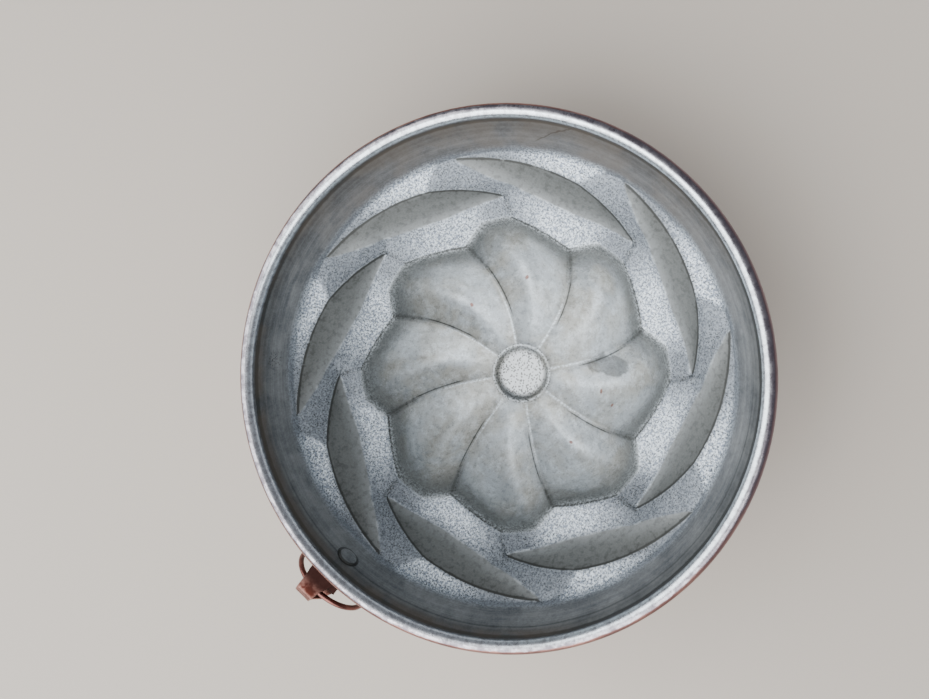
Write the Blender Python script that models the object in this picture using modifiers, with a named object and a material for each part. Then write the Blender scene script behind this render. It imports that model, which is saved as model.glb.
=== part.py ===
"""Tin-lined copper swirl mould with a rolled rim and a hanging ring.

The mould stands on its crown with its mouth up. The origin is the middle of the flat underside of the
boss, +Z points up to the mouth and +X to the hanger. Lengths are in metres. Turns round the axis are
counted clockwise from above, in pitches, where one pitch is the angle from one lobe to the next.
"""
from math import cos, pi, radians, sin, sqrt

import bmesh
import bpy
from mathutils import Matrix, Vector

# Body
LOBES = 8
PATTERN_ANGLE = 13.8            # degrees from the hanger to the first petal seam, counterclockwise
RIM_RADIUS = 0.1000             # outside of the rolled bead
HEIGHT = 0.0760                 # underside of the boss to the top of the bead
SHEET = 0.0009
BEAD_RADIUS = 0.0025
BEAD_START = 205.0              # degrees round the bead where the wall runs into it
BEAD_END = -105.0               # degrees round the bead where its edge stops, under the outside
GROOVE_DEPTH = 0.00045          # fine groove that rolling the bead left on the wall
GROOVE_HEIGHT = 0.0010
WALL_STEP = 0.00025             # how far the top of the wall stands inside the bead
WALL_DEPTH = 0.0235             # top of the bead down to the foot of the plain wall
WALL_LEAN = 0.00645             # how far the foot of the wall stands inside its top

# Relief. Each mark is its turn in pitches, how far it lies inside the foot of the wall, and how far below it
STRIP_START = (0.067, 0.0003, 0.0000)
CRESCENT_START = (0.176, 0.0000, 0.0000)
TOOTH_TIP = (-0.056, 0.0077, 0.0040)
CRESCENT_END = (0.427, 0.0144, 0.0145)
PETAL_SHOULDER = (0.470, 0.0231, 0.0188)
PETAL_TIP = (0.200, 0.0236, 0.0212)
NOTCH = (0.000, 0.0308, 0.0233)
SCOOP_FOLD = (                  # foot of the crescent face, where it turns into the land
    (0.222, 0.0025, 0.0020), (0.356, 0.0093, 0.0075), (0.511, 0.0120, 0.0120), (0.711, 0.0154, 0.0165),
    (0.933, 0.0171, 0.0193), (1.067, 0.0171, 0.0198), (1.200, 0.0163, 0.0188), (1.333, 0.0153, 0.0165))
DIAGONAL_BULGE = 0.0006         # how far a petal's long edge bows in towards the boss
FOLD_ROUNDING = 0.16            # softness of the turn from crescent face to land
FOLD_LEAN = (0.72, 0.45)        # where a line across the scoop turns, of its way: at the start, farther on
FOLD_LEAN_POINTS = 5            # points along the scoop from the one to the other
TOOTH_HOLLOW = 1.5              # above 1, the tooth's land lies flat and turns up only at the wall

# Petals and boss
SEAM_TWIST = 0.218              # pitches that a seam turns clockwise on its way in
SEAM_CURVE = 2.0                # power of that turn: above 1, the seam bends most near the notch
SEAM_RISE = 2.0                 # power of the seam's climb from the boss to the notch
VALLEY_RISE = 3.5               # power of the valley's climb from the boss to the petal tip
VALLEY_ROUNDING = 1.2           # power of a petal's section: 1 is a plain V
VALLEY_DROP = 0.0007            # valley below the seams where they meet the boss
BOSS_RADIUS = 0.0108            # foot of the hollow in the boss
BOSS_RIDGE = 0.0016             # radial width from the foot up to its ridge, and from there to the petals
BOSS_EDGE = 0.0008              # border of the boss's floor, beside its corner
BOSS_DEPTH = 0.0027             # ridge above the floor of the hollow

# Rolled-in wire
WIRE_CLEARANCE = 0.0004         # wire to the inside of the bead

# Hanger
RING_RADIUS = 0.0159            # middle of the wire
RING_WIRE = 0.0011              # radius of the wire
RING_CLEARANCE = 0.0003         # ring to strap
PIVOT_REACH = 0.0104            # pivot beyond the bead
STRAP_SHEET = 0.0008
STRAP_GAP = 0.0003              # between the strap's two layers, and between strap and wall
STRAP_HEADROOM = 0.0005         # strap below the bead
STRAP_FOLD_REACH = 0.0047       # fold beyond the pivot
STRAP_FOLD_HEIGHT = 0.0019      # height of the folded end between its two layers
STRAP_FOLD_DROP = 0.0008        # upper layer's slope down to the fold
STRAP_WAIST_BACK = 0.0020       # waist of the upper layer, inside the pivot
STRAP_ROOM = 0.0022             # level stretch over and under the ring, each way from the pivot
STRAP_TAPER = (0.5, 0.3)        # how far that stretch has narrowed to the tip at its far end, over and under
STRAP_KNEE = 0.5                # where the lower layer turns down to the ring, of its way from bead to pivot
STRAP_BEND = 0.0016             # radius of its bends, in the middle of the sheet
STRAP_TAIL = 0.0058             # flange below the rivet
STRAP_WIDE = (0.0070, 0.0070)   # from the strap's line to its edge on each side, -Y and +Y, at the wall
STRAP_WAIST = (0.0064, 0.0024)  # the same over the ring
STRAP_UNDER = (0.0078, 0.0055)  # the same under the ring
STRAP_TIP = (0.0064, 0.0010)    # the same at the fold
RIVET_DEPTH = 0.0122            # rivet below the top of the bead, on the inside of the wall
RIVET_ASIDE = 0.0012            # rivet to the +Y side of the strap's line
RIVET_SHANK = 0.0015
RIVET_HEAD = 0.0044             # radius of the head inside the mould
RIVET_HEAD_THICKNESS = 0.0009
RIVET_HEAD_CROWN = (0.86, 0.6)  # corner of the head, as shares of its radius and thickness
RIVET_TAIL = 0.0031             # radius of the closed head outside
RIVET_TAIL_HEIGHT = 0.0015
RIVET_CLEARANCE = 0.0003

# Facets
TOOTH_END_STEPS = 2
STRIP_STEPS = 3
DIAGONAL_STEPS = 3
PETAL_SIDE_STEPS = 2
FOLD_STEPS = 2                  # on each side of the scoop's fold
PETAL_STEPS = 7
BEAD_STEPS = 8
BEND_STEPS = 3
DOME_STEPS = 5
RIM_WIRE_FACETS = 6
RING_FACETS = 10
HOLE_FACETS = 12
ROUND_FACETS = 24
CREASE = 24.0                   # degrees between faces that stay sharp
MERGE = 1e-6                    # points closer than this are one

PITCH = 360.0 / LOBES
RIVET_GRIP = SHEET + 2 * (STRAP_GAP + STRAP_SHEET)
WALL_TOP_RADIUS = RIM_RADIUS - 2 * BEAD_RADIUS - WALL_STEP
WALL_TOP_HEIGHT = HEIGHT - 2 * BEAD_RADIUS - GROOVE_HEIGHT
WALL_FOOT_RADIUS = WALL_TOP_RADIUS - WALL_LEAN
WALL_FOOT_HEIGHT = HEIGHT - WALL_DEPTH


def clear_scene():
    """Remove every object that the file holds."""
    for old in list(bpy.data.objects):
        bpy.data.objects.remove(old, do_unlink=True)


def material(name, color, roughness, metallic=1.0):
    """A plain Principled material."""
    result = bpy.data.materials.new(name)
    result.use_nodes = True
    shader = result.node_tree.nodes["Principled BSDF"]
    shader.inputs["Base Color"].default_value = (*color, 1.0)
    shader.inputs["Roughness"].default_value = roughness
    shader.inputs["Metallic"].default_value = metallic
    return result


def add_object(name, mesh, materials, collection):
    """Link a new object, shaded smooth with its creases kept sharp."""
    result = bpy.data.objects.new(name, mesh)
    for item in materials:
        mesh.materials.append(item)
    mesh.shade_smooth()
    mesh.set_sharp_from_angle(angle=radians(CREASE))
    collection.objects.link(result)
    return result


def mix(a, b, share):
    """Point or number between a and b."""
    if isinstance(a, tuple):
        return tuple(mix(x, y, share) for x, y in zip(a, b))
    return a + (b - a) * share


def mark(values, pitches=0):
    """A mark of the relief as turn, radius and height, moved on by whole pitches."""
    turn, inset, drop = values
    return (turn + pitches, WALL_FOOT_RADIUS - inset, WALL_FOOT_HEIGHT - drop)


def place(point):
    """A point given as turn, radius and height, in the mould's frame."""
    turn, radius, height = point
    angle = radians(PATTERN_ANGLE - turn * PITCH)
    return Vector((radius * cos(angle), radius * sin(angle), height))


def chain(stops):
    """Points along a line through marks. Each stop after the first is (point, steps, bulge inwards)."""
    points = [stops[0]]
    for target, steps, bulge in stops[1:]:
        start = points[-1]
        for step in range(1, steps + 1):
            share = step / steps
            turn, radius, height = mix(start, target, share)
            points.append((turn, radius - bulge * 4 * share * (1 - share), height))
    return points


def scoop_fold(turn, pitches):
    """The foot of the crescent face at a turn, on the line through its marks."""
    line = [mark(CRESCENT_START, pitches)]
    line += [mark(values, pitches) for values in SCOOP_FOLD]
    line.append(mark(CRESCENT_END, pitches + 1))
    for before, after in zip(line, line[1:]):
        if turn <= after[0]:
            return mix(before, after, (turn - before[0]) / (after[0] - before[0]))
    return line[-1]


def soft_corner(share):
    """Weights of the start, the corner and the end of a two-leg line whose corner is rounded."""
    def ramp(x):
        low = sqrt(0.25 + FOLD_ROUNDING ** 2) - 0.5
        return x + sqrt(x * x + FOLD_ROUNDING ** 2) - low
    end = ramp(share - 0.5)
    start = ramp(0.5 - share)
    return start, 1 - start - end, end


class Surface:
    """Collects the patches of one open surface and joins them along their shared edges."""

    def __init__(self):
        self.mesh = bmesh.new()

    def patch(self, rows):
        """Add a grid of points given row by row."""
        made = [[self.mesh.verts.new(place(point)) for point in row] for row in rows]
        for low, high in zip(made, made[1:]):
            for k in range(len(low) - 1):
                self.mesh.faces.new((low[k], low[k + 1], high[k + 1], high[k]))

    def disc(self, points):
        """Add one flat face round the points."""
        self.mesh.faces.new([self.mesh.verts.new(place(point)) for point in points])

    def finish(self, name):
        """Merge the shared edges, turn every face up to the mouth and return the mesh."""
        bmesh.ops.remove_doubles(self.mesh, verts=self.mesh.verts, dist=MERGE)
        bmesh.ops.dissolve_degenerate(self.mesh, edges=self.mesh.edges, dist=MERGE)
        bmesh.ops.recalc_face_normals(self.mesh, faces=self.mesh.faces)
        middle = min(self.mesh.faces, key=lambda face: face.calc_center_median().xy.length)
        if middle.normal.z < 0:
            bmesh.ops.reverse_faces(self.mesh, faces=self.mesh.faces)
        result = bpy.data.meshes.new(name)
        self.mesh.to_mesh(result)
        self.mesh.free()
        return result


def tooth_ridge(pitches, tooth_steps):
    """Ridge over a crescent: under the tooth to its tip, then along the next strip to the crescent's end."""
    return chain([mark(CRESCENT_START, pitches),
                  (mark(TOOTH_TIP, pitches + 1), tooth_steps, 0.0),
                  (mark(CRESCENT_END, pitches + 1), STRIP_STEPS, 0.0)])


def scoop_inner_edge(pitches):
    """The scoop's edge towards the boss, from its start on the wall round to the crescent's end."""
    return chain([mark(CRESCENT_START, pitches),
                  (mark(STRIP_START, pitches), 1, 0.0),
                  (mark(TOOTH_TIP, pitches), TOOTH_END_STEPS, 0.0),
                  (mark(CRESCENT_END, pitches), STRIP_STEPS, 0.0),
                  (mark(PETAL_SHOULDER, pitches), 1, 0.0),
                  (mark(NOTCH, pitches + 1), DIAGONAL_STEPS, DIAGONAL_BULGE),
                  (mark(PETAL_TIP, pitches + 1), PETAL_SIDE_STEPS, 0.0),
                  (mark(PETAL_SHOULDER, pitches + 1), 1, 0.0),
                  (mark(CRESCENT_END, pitches + 1), 1, 0.0)])


def add_scoop(surface, pitches):
    """One swirled scoop: the strip and land that make its floor, and the crescent face over them."""
    inner = scoop_inner_edge(pitches)
    outer = tooth_ridge(pitches, len(inner) - 1 - STRIP_STEPS)
    start, end = mark(CRESCENT_START, pitches)[0], mark(CRESCENT_END, pitches + 1)[0]
    fold = []
    for k, (low, high) in enumerate(zip(inner, outer)):
        lean = mix(*FOLD_LEAN, min(1.0, k / FOLD_LEAN_POINTS))
        fold.append(scoop_fold(min(max(mix(low[0], high[0], lean), start), end), pitches))
    rows = []
    for step in range(2 * FOLD_STEPS + 1):
        weights = soft_corner(step / (2 * FOLD_STEPS))
        rows.append([tuple(sum(w * p[axis] for w, p in zip(weights, points)) for axis in range(3))
                     for points in zip(inner, fold, outer)])
    surface.patch(rows)
    return outer


def add_tooth(surface, ridge, pitches):
    """The short land over a crescent, from its ridge up to the foot of the wall."""
    steps = len(ridge) - 1 - STRIP_STEPS
    ridge = ridge[:steps + 1]
    foot = chain([mark(CRESCENT_START, pitches), (mark(STRIP_START, pitches + 1), steps, 0.0)])
    rows = []
    for step in range(TOOTH_END_STEPS + 1):
        share = step / TOOTH_END_STEPS
        row = []
        for k, (low, high) in enumerate(zip(ridge, foot)):
            turn, radius, height = mix(low, high, share)
            hollow = 0.0 if k == steps else (high[2] - low[2]) * (share - share ** TOOTH_HOLLOW)
            row.append((turn, radius, height - hollow))
        rows.append(row)
    surface.patch(rows)
    return foot


def add_petal(surface, pitches):
    """One petal trough from the boss to its outer edge. Gives back its edge at the boss."""
    rim = chain([mark(NOTCH, pitches),
                 (mark(PETAL_TIP, pitches), PETAL_SIDE_STEPS, 0.0),
                 (mark(PETAL_SHOULDER, pitches), 1, 0.0),
                 (mark(NOTCH, pitches + 1), DIAGONAL_STEPS, DIAGONAL_BULGE)])
    last = len(rim) - 1
    foot_radius = BOSS_RADIUS + 2 * BOSS_RIDGE
    foot_height = SHEET + BOSS_DEPTH
    inner, depth = [], []
    for k in range(last + 1):
        if k <= PETAL_SIDE_STEPS:
            way = k / PETAL_SIDE_STEPS
            turn = mix(0.0, 0.5, way)
        else:
            way = (last - k) / (last - PETAL_SIDE_STEPS)
            turn = mix(1.0, 0.5, way)
        low = 1 - (1 - way) ** VALLEY_ROUNDING
        depth.append(low)
        inner.append((pitches + SEAM_TWIST + turn, foot_radius, foot_height - VALLEY_DROP * low))
    rows = []
    for step in range(PETAL_STEPS + 1):
        share = step / PETAL_STEPS
        row = []
        for start, end, low in zip(inner, rim, depth):
            turn = mix(start[0], end[0], share ** SEAM_CURVE)
            radius = mix(start[1], end[1], share)
            climb = mix(share ** SEAM_RISE, share ** VALLEY_RISE, low)
            row.append((turn, radius, mix(start[2], end[2], climb)))
        rows.append(row)
    surface.patch(rows)
    return inner


def add_boss(surface, inner):
    """The ridge round the boss and the wall of its hollow. Gives back the edge of the flat floor."""
    ridge = [(turn, BOSS_RADIUS + BOSS_RIDGE, SHEET + BOSS_DEPTH) for turn, _, _ in inner]
    corner = [(turn, BOSS_RADIUS, SHEET) for turn, _, _ in inner]
    floor = [(turn, BOSS_RADIUS - BOSS_EDGE, SHEET) for turn, _, _ in inner]
    surface.patch([inner, ridge, corner, floor])
    return floor


def wall_profile():
    """Radius and height from the foot of the wall up over the bead to its hidden edge."""
    middle = (RIM_RADIUS - BEAD_RADIUS, HEIGHT - BEAD_RADIUS)
    points = [(WALL_TOP_RADIUS, WALL_TOP_HEIGHT),
              (WALL_TOP_RADIUS + GROOVE_DEPTH, WALL_TOP_HEIGHT + GROOVE_HEIGHT)]
    for step in range(BEAD_STEPS + 1):
        angle = radians(mix(BEAD_START, BEAD_END, step / BEAD_STEPS))
        points.append((middle[0] + BEAD_RADIUS * cos(angle), middle[1] + BEAD_RADIUS * sin(angle)))
    return points


def cut_hole(target, cutter):
    """Cut the cutter's shape out of the target."""
    cut = target.modifiers.new("rivet_hole", 'BOOLEAN')
    cut.operation = 'DIFFERENCE'
    cut.solver = 'EXACT'
    cut.object = cutter


def make_body(collection, cutters, plane, finishes):
    """The pressed sheet: relief, boss, wall and rolled bead, with the rivet's hole."""
    surface = Surface()
    profile = wall_profile()
    floor = []
    for pitches in range(LOBES):
        ridge = add_scoop(surface, pitches)
        foot = [mark(STRIP_START, pitches)] + add_tooth(surface, ridge, pitches)
        rings = [[(turn, radius, height) for turn, _, _ in foot] for radius, height in profile]
        surface.patch([foot] + rings)
        inner = add_petal(surface, pitches)
        floor += add_boss(surface, inner)[:-1]
    surface.disc(floor)
    body = add_object("mould_body", surface.finish("mould_body"), finishes, collection)
    shell = body.modifiers.new("sheet", 'SOLIDIFY')
    shell.thickness = SHEET
    shell.offset = -1.0
    shell.use_even_offset = True
    shell.use_quality_normals = True
    shell.material_offset = 1
    shell.material_offset_rim = 1
    cut_hole(body, rivet_cutter("wall_hole_cutter", cutters, plane))
    return body


def wire_ring(name, major, minor, major_steps, minor_steps, finish, collection):
    """A ring of round wire."""
    bpy.ops.mesh.primitive_torus_add(major_radius=major, minor_radius=minor, major_segments=major_steps,
                                     minor_segments=minor_steps)
    result = bpy.context.object
    result.name = name
    result.data.name = name
    for old in list(result.users_collection):
        old.objects.unlink(result)
    collection.objects.link(result)
    result.data.materials.append(finish)
    result.data.shade_smooth()
    return result


def make_rim_wire(collection, finish):
    """The iron wire that the rim is rolled over."""
    wire = wire_ring("rim_wire", RIM_RADIUS - BEAD_RADIUS, BEAD_RADIUS - SHEET - WIRE_CLEARANCE,
                     4 * ROUND_FACETS, RIM_WIRE_FACETS, finish, collection)
    wire.location.z = HEIGHT - BEAD_RADIUS
    return wire


class HangerPlane:
    """The upright plane through the axis and the hanger: x is the radius and z the height."""

    def __init__(self):
        lean = Vector((WALL_LEAN, 0, WALL_TOP_HEIGHT - WALL_FOOT_HEIGHT)).normalized()
        self.up_wall = lean
        self.outwards = Vector((lean.z, 0, -lean.x))
        self.rivet = self.on_wall(HEIGHT - RIVET_DEPTH) + Vector((0, RIVET_ASIDE, 0))
        self.strap_top = HEIGHT - 2 * BEAD_RADIUS - STRAP_HEADROOM - STRAP_SHEET / 2
        pivot_height = self.strap_top - STRAP_SHEET / 2 - ring_reach(STRAP_WAIST)
        self.pivot = Vector((RIM_RADIUS + PIVOT_REACH, 0, pivot_height))

    def on_wall(self, height):
        """Point on the inside of the wall at a height."""
        foot = Vector((WALL_FOOT_RADIUS, 0, WALL_FOOT_HEIGHT))
        return foot + self.up_wall * ((height - WALL_FOOT_HEIGHT) / self.up_wall.z)

    def flange(self, layer, height):
        """Point on the middle of a strap layer that lies on the wall, 0 the inner one and 1 the outer."""
        offset = SHEET + STRAP_GAP + STRAP_SHEET / 2 + layer * (STRAP_SHEET + STRAP_GAP)
        point = self.on_wall(height) + self.outwards * offset
        return point + self.up_wall * ((height - point.z) / self.up_wall.z)


def ring_reach(edges):
    """How far below its pivot the ring hangs, at a strap's outermost edge, with its clearance."""
    inside = RING_RADIUS - RING_WIRE
    return RING_RADIUS - sqrt(inside ** 2 - max(edges) ** 2) + RING_CLEARANCE


def rounded(corners):
    """A line round corners, each given as (point, radius of its round, value), with the value along it.

    A corner with no radius stays a plain point, such as the line's ends and where only the value changes.
    """
    points = []
    for k, (corner, radius, value) in enumerate(corners):
        if radius == 0.0:
            points.append((corner, value))
            continue
        before, after = corners[k - 1], corners[k + 1]
        back = (before[0] - corner).normalized()
        ahead = (after[0] - corner).normalized()
        half = back.angle(ahead) / 2
        reach = radius * cos(half) / sin(half)
        middle = corner + (back + ahead).normalized() * (radius / sin(half))
        start, end = corner + back * reach - middle, corner + ahead * reach - middle
        for step in range(BEND_STEPS + 1):
            points.append((middle + start.slerp(end, step / BEND_STEPS) * radius, value))
    return points


def strap_line(plane):
    """Middle of the strap's sheet with its edges, from the inner flange out over the ring and back."""
    pivot, top = plane.pivot, plane.strap_top
    under = pivot.z - ring_reach(STRAP_UNDER) - STRAP_SHEET / 2
    second = top - STRAP_SHEET - STRAP_GAP
    tail = plane.rivet.z - STRAP_TAIL
    fold = pivot.x + STRAP_FOLD_REACH - STRAP_SHEET / 2
    fold_top = top - STRAP_FOLD_DROP
    fold_round = STRAP_FOLD_HEIGHT / 2
    near, far = pivot.x - STRAP_ROOM, pivot.x + STRAP_ROOM
    return rounded([
        (plane.flange(0, tail), 0.0, STRAP_WIDE),
        (plane.flange(0, top), STRAP_BEND, STRAP_WIDE),
        (Vector((pivot.x - STRAP_WAIST_BACK, 0, top)), 0.0, STRAP_WAIST),
        (Vector((far, 0, top)), STRAP_BEND, mix(STRAP_WAIST, STRAP_TIP, STRAP_TAPER[0])),
        (Vector((fold, 0, fold_top)), fold_round, STRAP_TIP),
        (Vector((fold, 0, fold_top - STRAP_FOLD_HEIGHT)), fold_round, STRAP_TIP),
        (Vector((far, 0, under)), RING_WIRE, mix(STRAP_UNDER, STRAP_TIP, STRAP_TAPER[1])),
        (Vector((near, 0, under)), RING_WIRE, STRAP_UNDER),
        (Vector((mix(RIM_RADIUS, pivot.x, STRAP_KNEE), 0, second)), STRAP_BEND, STRAP_WIDE),
        (plane.flange(1, second), STRAP_SHEET, STRAP_WIDE),
        (plane.flange(1, tail), 0.0, STRAP_WIDE)])


def make_strap(collection, cutters, plane, finish):
    """The folded copper strip: a ribbon along its middle line, given its thickness, with the rivet's hole."""
    ribbon = bmesh.new()
    rows = []
    for point, (left, right) in strap_line(plane):
        middle = (right - left) / 2
        rows.append([ribbon.verts.new((point.x, aside, point.z)) for aside in (-left, middle, right)])
    for low, high in zip(rows, rows[1:]):
        for k in range(2):
            ribbon.faces.new((high[k], high[k + 1], low[k + 1], low[k]))
    bmesh.ops.remove_doubles(ribbon, verts=ribbon.verts, dist=MERGE)
    mesh = bpy.data.meshes.new("hanger_strap")
    ribbon.to_mesh(mesh)
    ribbon.free()
    strap = add_object("hanger_strap", mesh, [finish], collection)
    shell = strap.modifiers.new("sheet", 'SOLIDIFY')
    shell.thickness = STRAP_SHEET
    shell.offset = 0.0
    cut_hole(strap, rivet_cutter("strap_hole_cutter", cutters, plane))
    return strap


def rivet_frame(plane):
    """Matrix that turns +Z onto the rivet's axis, out through the wall, and moves the origin to the wall."""
    turn = plane.outwards.to_track_quat('Z', 'Y').to_matrix().to_4x4()
    return Matrix.Translation(plane.rivet) @ turn


def rivet_cutter(name, cutters, plane):
    """A drill for the rivet's hole, through the wall and both layers of the strap."""
    length = 2 * RIVET_GRIP
    radius = RIVET_SHANK + RIVET_CLEARANCE
    mesh = bpy.data.meshes.new(name)
    drill = bmesh.new()
    bmesh.ops.create_cone(drill, cap_ends=True, segments=HOLE_FACETS, radius1=radius, radius2=radius,
                          depth=length)
    drill.to_mesh(mesh)
    drill.free()
    cutter = bpy.data.objects.new(name, mesh)
    cutter.matrix_world = rivet_frame(plane) @ Matrix.Translation((0, 0, RIVET_GRIP / 2))
    cutter.hide_render = True
    cutter.display_type = 'WIRE'
    cutters.objects.link(cutter)
    return cutter


def make_rivet(collection, plane, finish):
    """A turned rivet: a wide low head inside the mould and a domed one outside the strap."""
    inside = -RIVET_CLEARANCE
    outside = RIVET_GRIP + RIVET_CLEARANCE
    profile = [(0.0, outside + RIVET_TAIL_HEIGHT)]
    for step in range(1, DOME_STEPS):
        angle = pi / 2 * (1 - step / DOME_STEPS)
        profile.append((RIVET_TAIL * cos(angle), outside + RIVET_TAIL_HEIGHT * sin(angle)))
    profile += [(RIVET_TAIL, outside), (RIVET_SHANK, outside), (RIVET_SHANK, inside), (RIVET_HEAD, inside),
                (RIVET_HEAD_CROWN[0] * RIVET_HEAD, inside - RIVET_HEAD_CROWN[1] * RIVET_HEAD_THICKNESS),
                (0.0, inside - RIVET_HEAD_THICKNESS)]
    mesh = bpy.data.meshes.new("hanger_rivet")
    outline = bmesh.new()
    points = [outline.verts.new((radius, 0, height)) for radius, height in profile]
    for low, high in zip(points, points[1:]):
        outline.edges.new((low, high))
    outline.to_mesh(mesh)
    outline.free()
    rivet = add_object("hanger_rivet", mesh, [finish], collection)
    rivet.matrix_world = rivet_frame(plane)
    turned = rivet.modifiers.new("turned", 'SCREW')
    turned.steps = turned.render_steps = ROUND_FACETS
    turned.use_merge_vertices = True
    turned.merge_threshold = MERGE
    return rivet


def make_ring(collection, plane, finish):
    """The hanging ring, its origin on the axis that it swings about, hanging straight down."""
    ring = wire_ring("hanging_ring", RING_RADIUS, RING_WIRE, 2 * ROUND_FACETS, RING_FACETS,
                     finish, collection)
    upright = Matrix.Rotation(radians(90), 4, 'Y')
    ring.data.transform(Matrix.Translation((0, 0, -RING_RADIUS)) @ upright)
    ring.location = plane.pivot
    return ring


def main():
    clear_scene()
    parts = bpy.data.collections.new("copper_mould")
    cutters = bpy.data.collections.new("cutters")
    bpy.context.scene.collection.children.link(parts)
    bpy.context.scene.collection.children.link(cutters)
    tin = material("tin_lining", (0.42, 0.43, 0.44), 0.42)
    copper = material("copper_outside", (0.62, 0.33, 0.22), 0.35)
    plane = HangerPlane()
    make_body(parts, cutters, plane, [tin, copper])
    make_rim_wire(parts, material("iron_wire", (0.30, 0.29, 0.28), 0.55))
    make_strap(parts, cutters, plane, material("strap_copper", (0.45, 0.20, 0.12), 0.40))
    make_rivet(parts, plane, material("rivet_copper", (0.50, 0.28, 0.20), 0.45))
    make_ring(parts, plane, material("ring_copper", (0.48, 0.22, 0.14), 0.38))


main()
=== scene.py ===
"""The tinned copper swirl mould, dressed as it looks in its photograph.

Every length is in metres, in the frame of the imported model: +Z up out of the mouth, +X out to the hanger.
Turns round the axis are counted clockwise from above, in pitches, one pitch from each lobe to the next.
"""
import logging
import math
from contextlib import contextmanager
from dataclasses import dataclass
from enum import Enum
from typing import Any, Iterator, Optional, Sequence, Union

import bmesh
import bpy
import numpy as np
from bmesh.types import BMesh, BMVert
from bpy.types import Material, Mesh, Node, NodeSocket, NodeTree, Object
from mathutils import Matrix, Quaternion, Vector, noise
from mathutils.kdtree import KDTree


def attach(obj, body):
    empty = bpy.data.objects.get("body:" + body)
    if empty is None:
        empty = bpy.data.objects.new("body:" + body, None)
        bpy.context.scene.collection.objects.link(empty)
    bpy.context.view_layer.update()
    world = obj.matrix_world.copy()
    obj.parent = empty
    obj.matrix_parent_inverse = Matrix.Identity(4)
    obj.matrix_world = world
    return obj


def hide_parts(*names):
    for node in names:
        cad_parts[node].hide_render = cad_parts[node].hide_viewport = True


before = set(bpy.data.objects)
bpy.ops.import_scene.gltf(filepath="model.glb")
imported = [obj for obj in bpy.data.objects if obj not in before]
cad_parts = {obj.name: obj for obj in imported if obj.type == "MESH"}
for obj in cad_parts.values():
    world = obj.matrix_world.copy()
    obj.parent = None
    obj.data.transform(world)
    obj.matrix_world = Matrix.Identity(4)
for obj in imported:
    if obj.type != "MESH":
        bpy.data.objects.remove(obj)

LOG = logging.getLogger("mould")
TINY = 1e-20  # the least that a length or an area is divided by
SEED_STEP = (3.1, 7.7, 1.3)  # how far apart in the noise two seeds read
Point = tuple[float, float, float]
Pair = tuple[float, float]
Colour = tuple[int, int, int]  # red, green and blue from 0 to 255, as a screen shows them
Side = tuple[float, float, float]  # a side's middle in degrees, and the cosines off it where it starts and is full
Rows = list[list[np.ndarray]]  # points as turn, radius and height


class Zone(Enum):
    """The kinds of surface that are marked on the sheet's points, each with its own wear."""

    LAND = "land"
    WALL = "wall"
    BEAD = "bead"
    BOSS = "boss"


class Line(Enum):
    """The lines of the relief that show on the sheet. A point's mark tells how far off the nearest one is."""

    SEAM = "off_seam"
    CREASE = "off_crease"
    OUTLINE = "off_outline"
    LIP = "off_lip"
    RIDGE = "off_ridge"
    FOLD = "off_fold"
    CORNER = "off_corner"


class Body(Enum):
    """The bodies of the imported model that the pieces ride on."""

    MOULD = "mould"
    RING = "ring"


class Slot(Enum):
    """The record's material slots."""

    SHEET = "tinned_copper"
    WIRE = "iron_wire"
    COPPER = "copper"


@dataclass(frozen=True)
class Spot:
    """A place on the sheet that looks unlike the rest: where it is, and its half length and half width."""

    place: Point
    half_length: float
    half_width: float
    turn: float
    uneven: float
    soft: float


def linear(colour: Colour) -> tuple[float, float, float, float]:
    """A screen colour from 0 to 255 as the shader's own linear values.

    Args:
        colour: red, green and blue as a screen shows them.

    Returns:
        Red, green, blue and an alpha of 1.
    """
    shares = [c / 255 for c in colour]
    red, green, blue = (s / 12.92 if s <= 0.04045 else ((s + 0.055) / 1.055) ** 2.4 for s in shares)
    return red, green, blue, 1.0


def blend(a: Any, b: Any, share: Any) -> Any:
    """What lies between a and b, for numbers and arrays."""
    return a + (b - a) * share


def ease(low: float, high: float, value: Any) -> Any:
    """A smooth step from 0 at low to 1 at high, for numbers and arrays."""
    share = np.clip((np.asarray(value, float) - low) / (high - low), 0.0, 1.0)
    return share * share * (3 - 2 * share)


class Graph:
    """A node tree that is built in the script: shader or geometry."""

    def __init__(self, tree: NodeTree) -> None:
        """Take over a tree and empty it."""
        self.tree = tree
        self.tree.nodes.clear()

    def node(self, kind: str, settings: Optional[dict[str, Any]] = None,
             inputs: Optional[dict[Union[int, str], Any]] = None) -> Node:
        """Add a node.

        Args:
            kind: the node's type name.
            settings: its properties, set first. "stops" are a ramp's (place, colour) pairs.
            inputs: values or sockets for its inputs, by name or number.

        Returns:
            The new node.
        """
        made = self.tree.nodes.new(kind)
        for name, value in (settings or {}).items():
            if name == "stops":
                ramp = made.color_ramp.elements
                while len(ramp) < len(value):
                    ramp.new(0.5)
                for element, (place, colour) in zip(ramp, value):
                    element.position = place
                    element.color = colour
            else:
                setattr(made, name, value)
        for name, value in (inputs or {}).items():
            self.feed(made.inputs[name], value)
        return made

    def out(self, kind: str, settings: Optional[dict[str, Any]] = None,
            inputs: Optional[dict[Union[int, str], Any]] = None) -> NodeSocket:
        """The first output of a new node."""
        return self.node(kind, settings, inputs).outputs[0]

    def feed(self, socket: NodeSocket, value: Any) -> None:
        """Link or set one input.

        Args:
            socket: the input.
            value: a value, a socket or a plain setting.
        """
        if isinstance(value, Value):
            value = value.socket
        if isinstance(value, NodeSocket):
            self.tree.links.new(value, socket)
        else:
            socket.default_value = value


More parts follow.
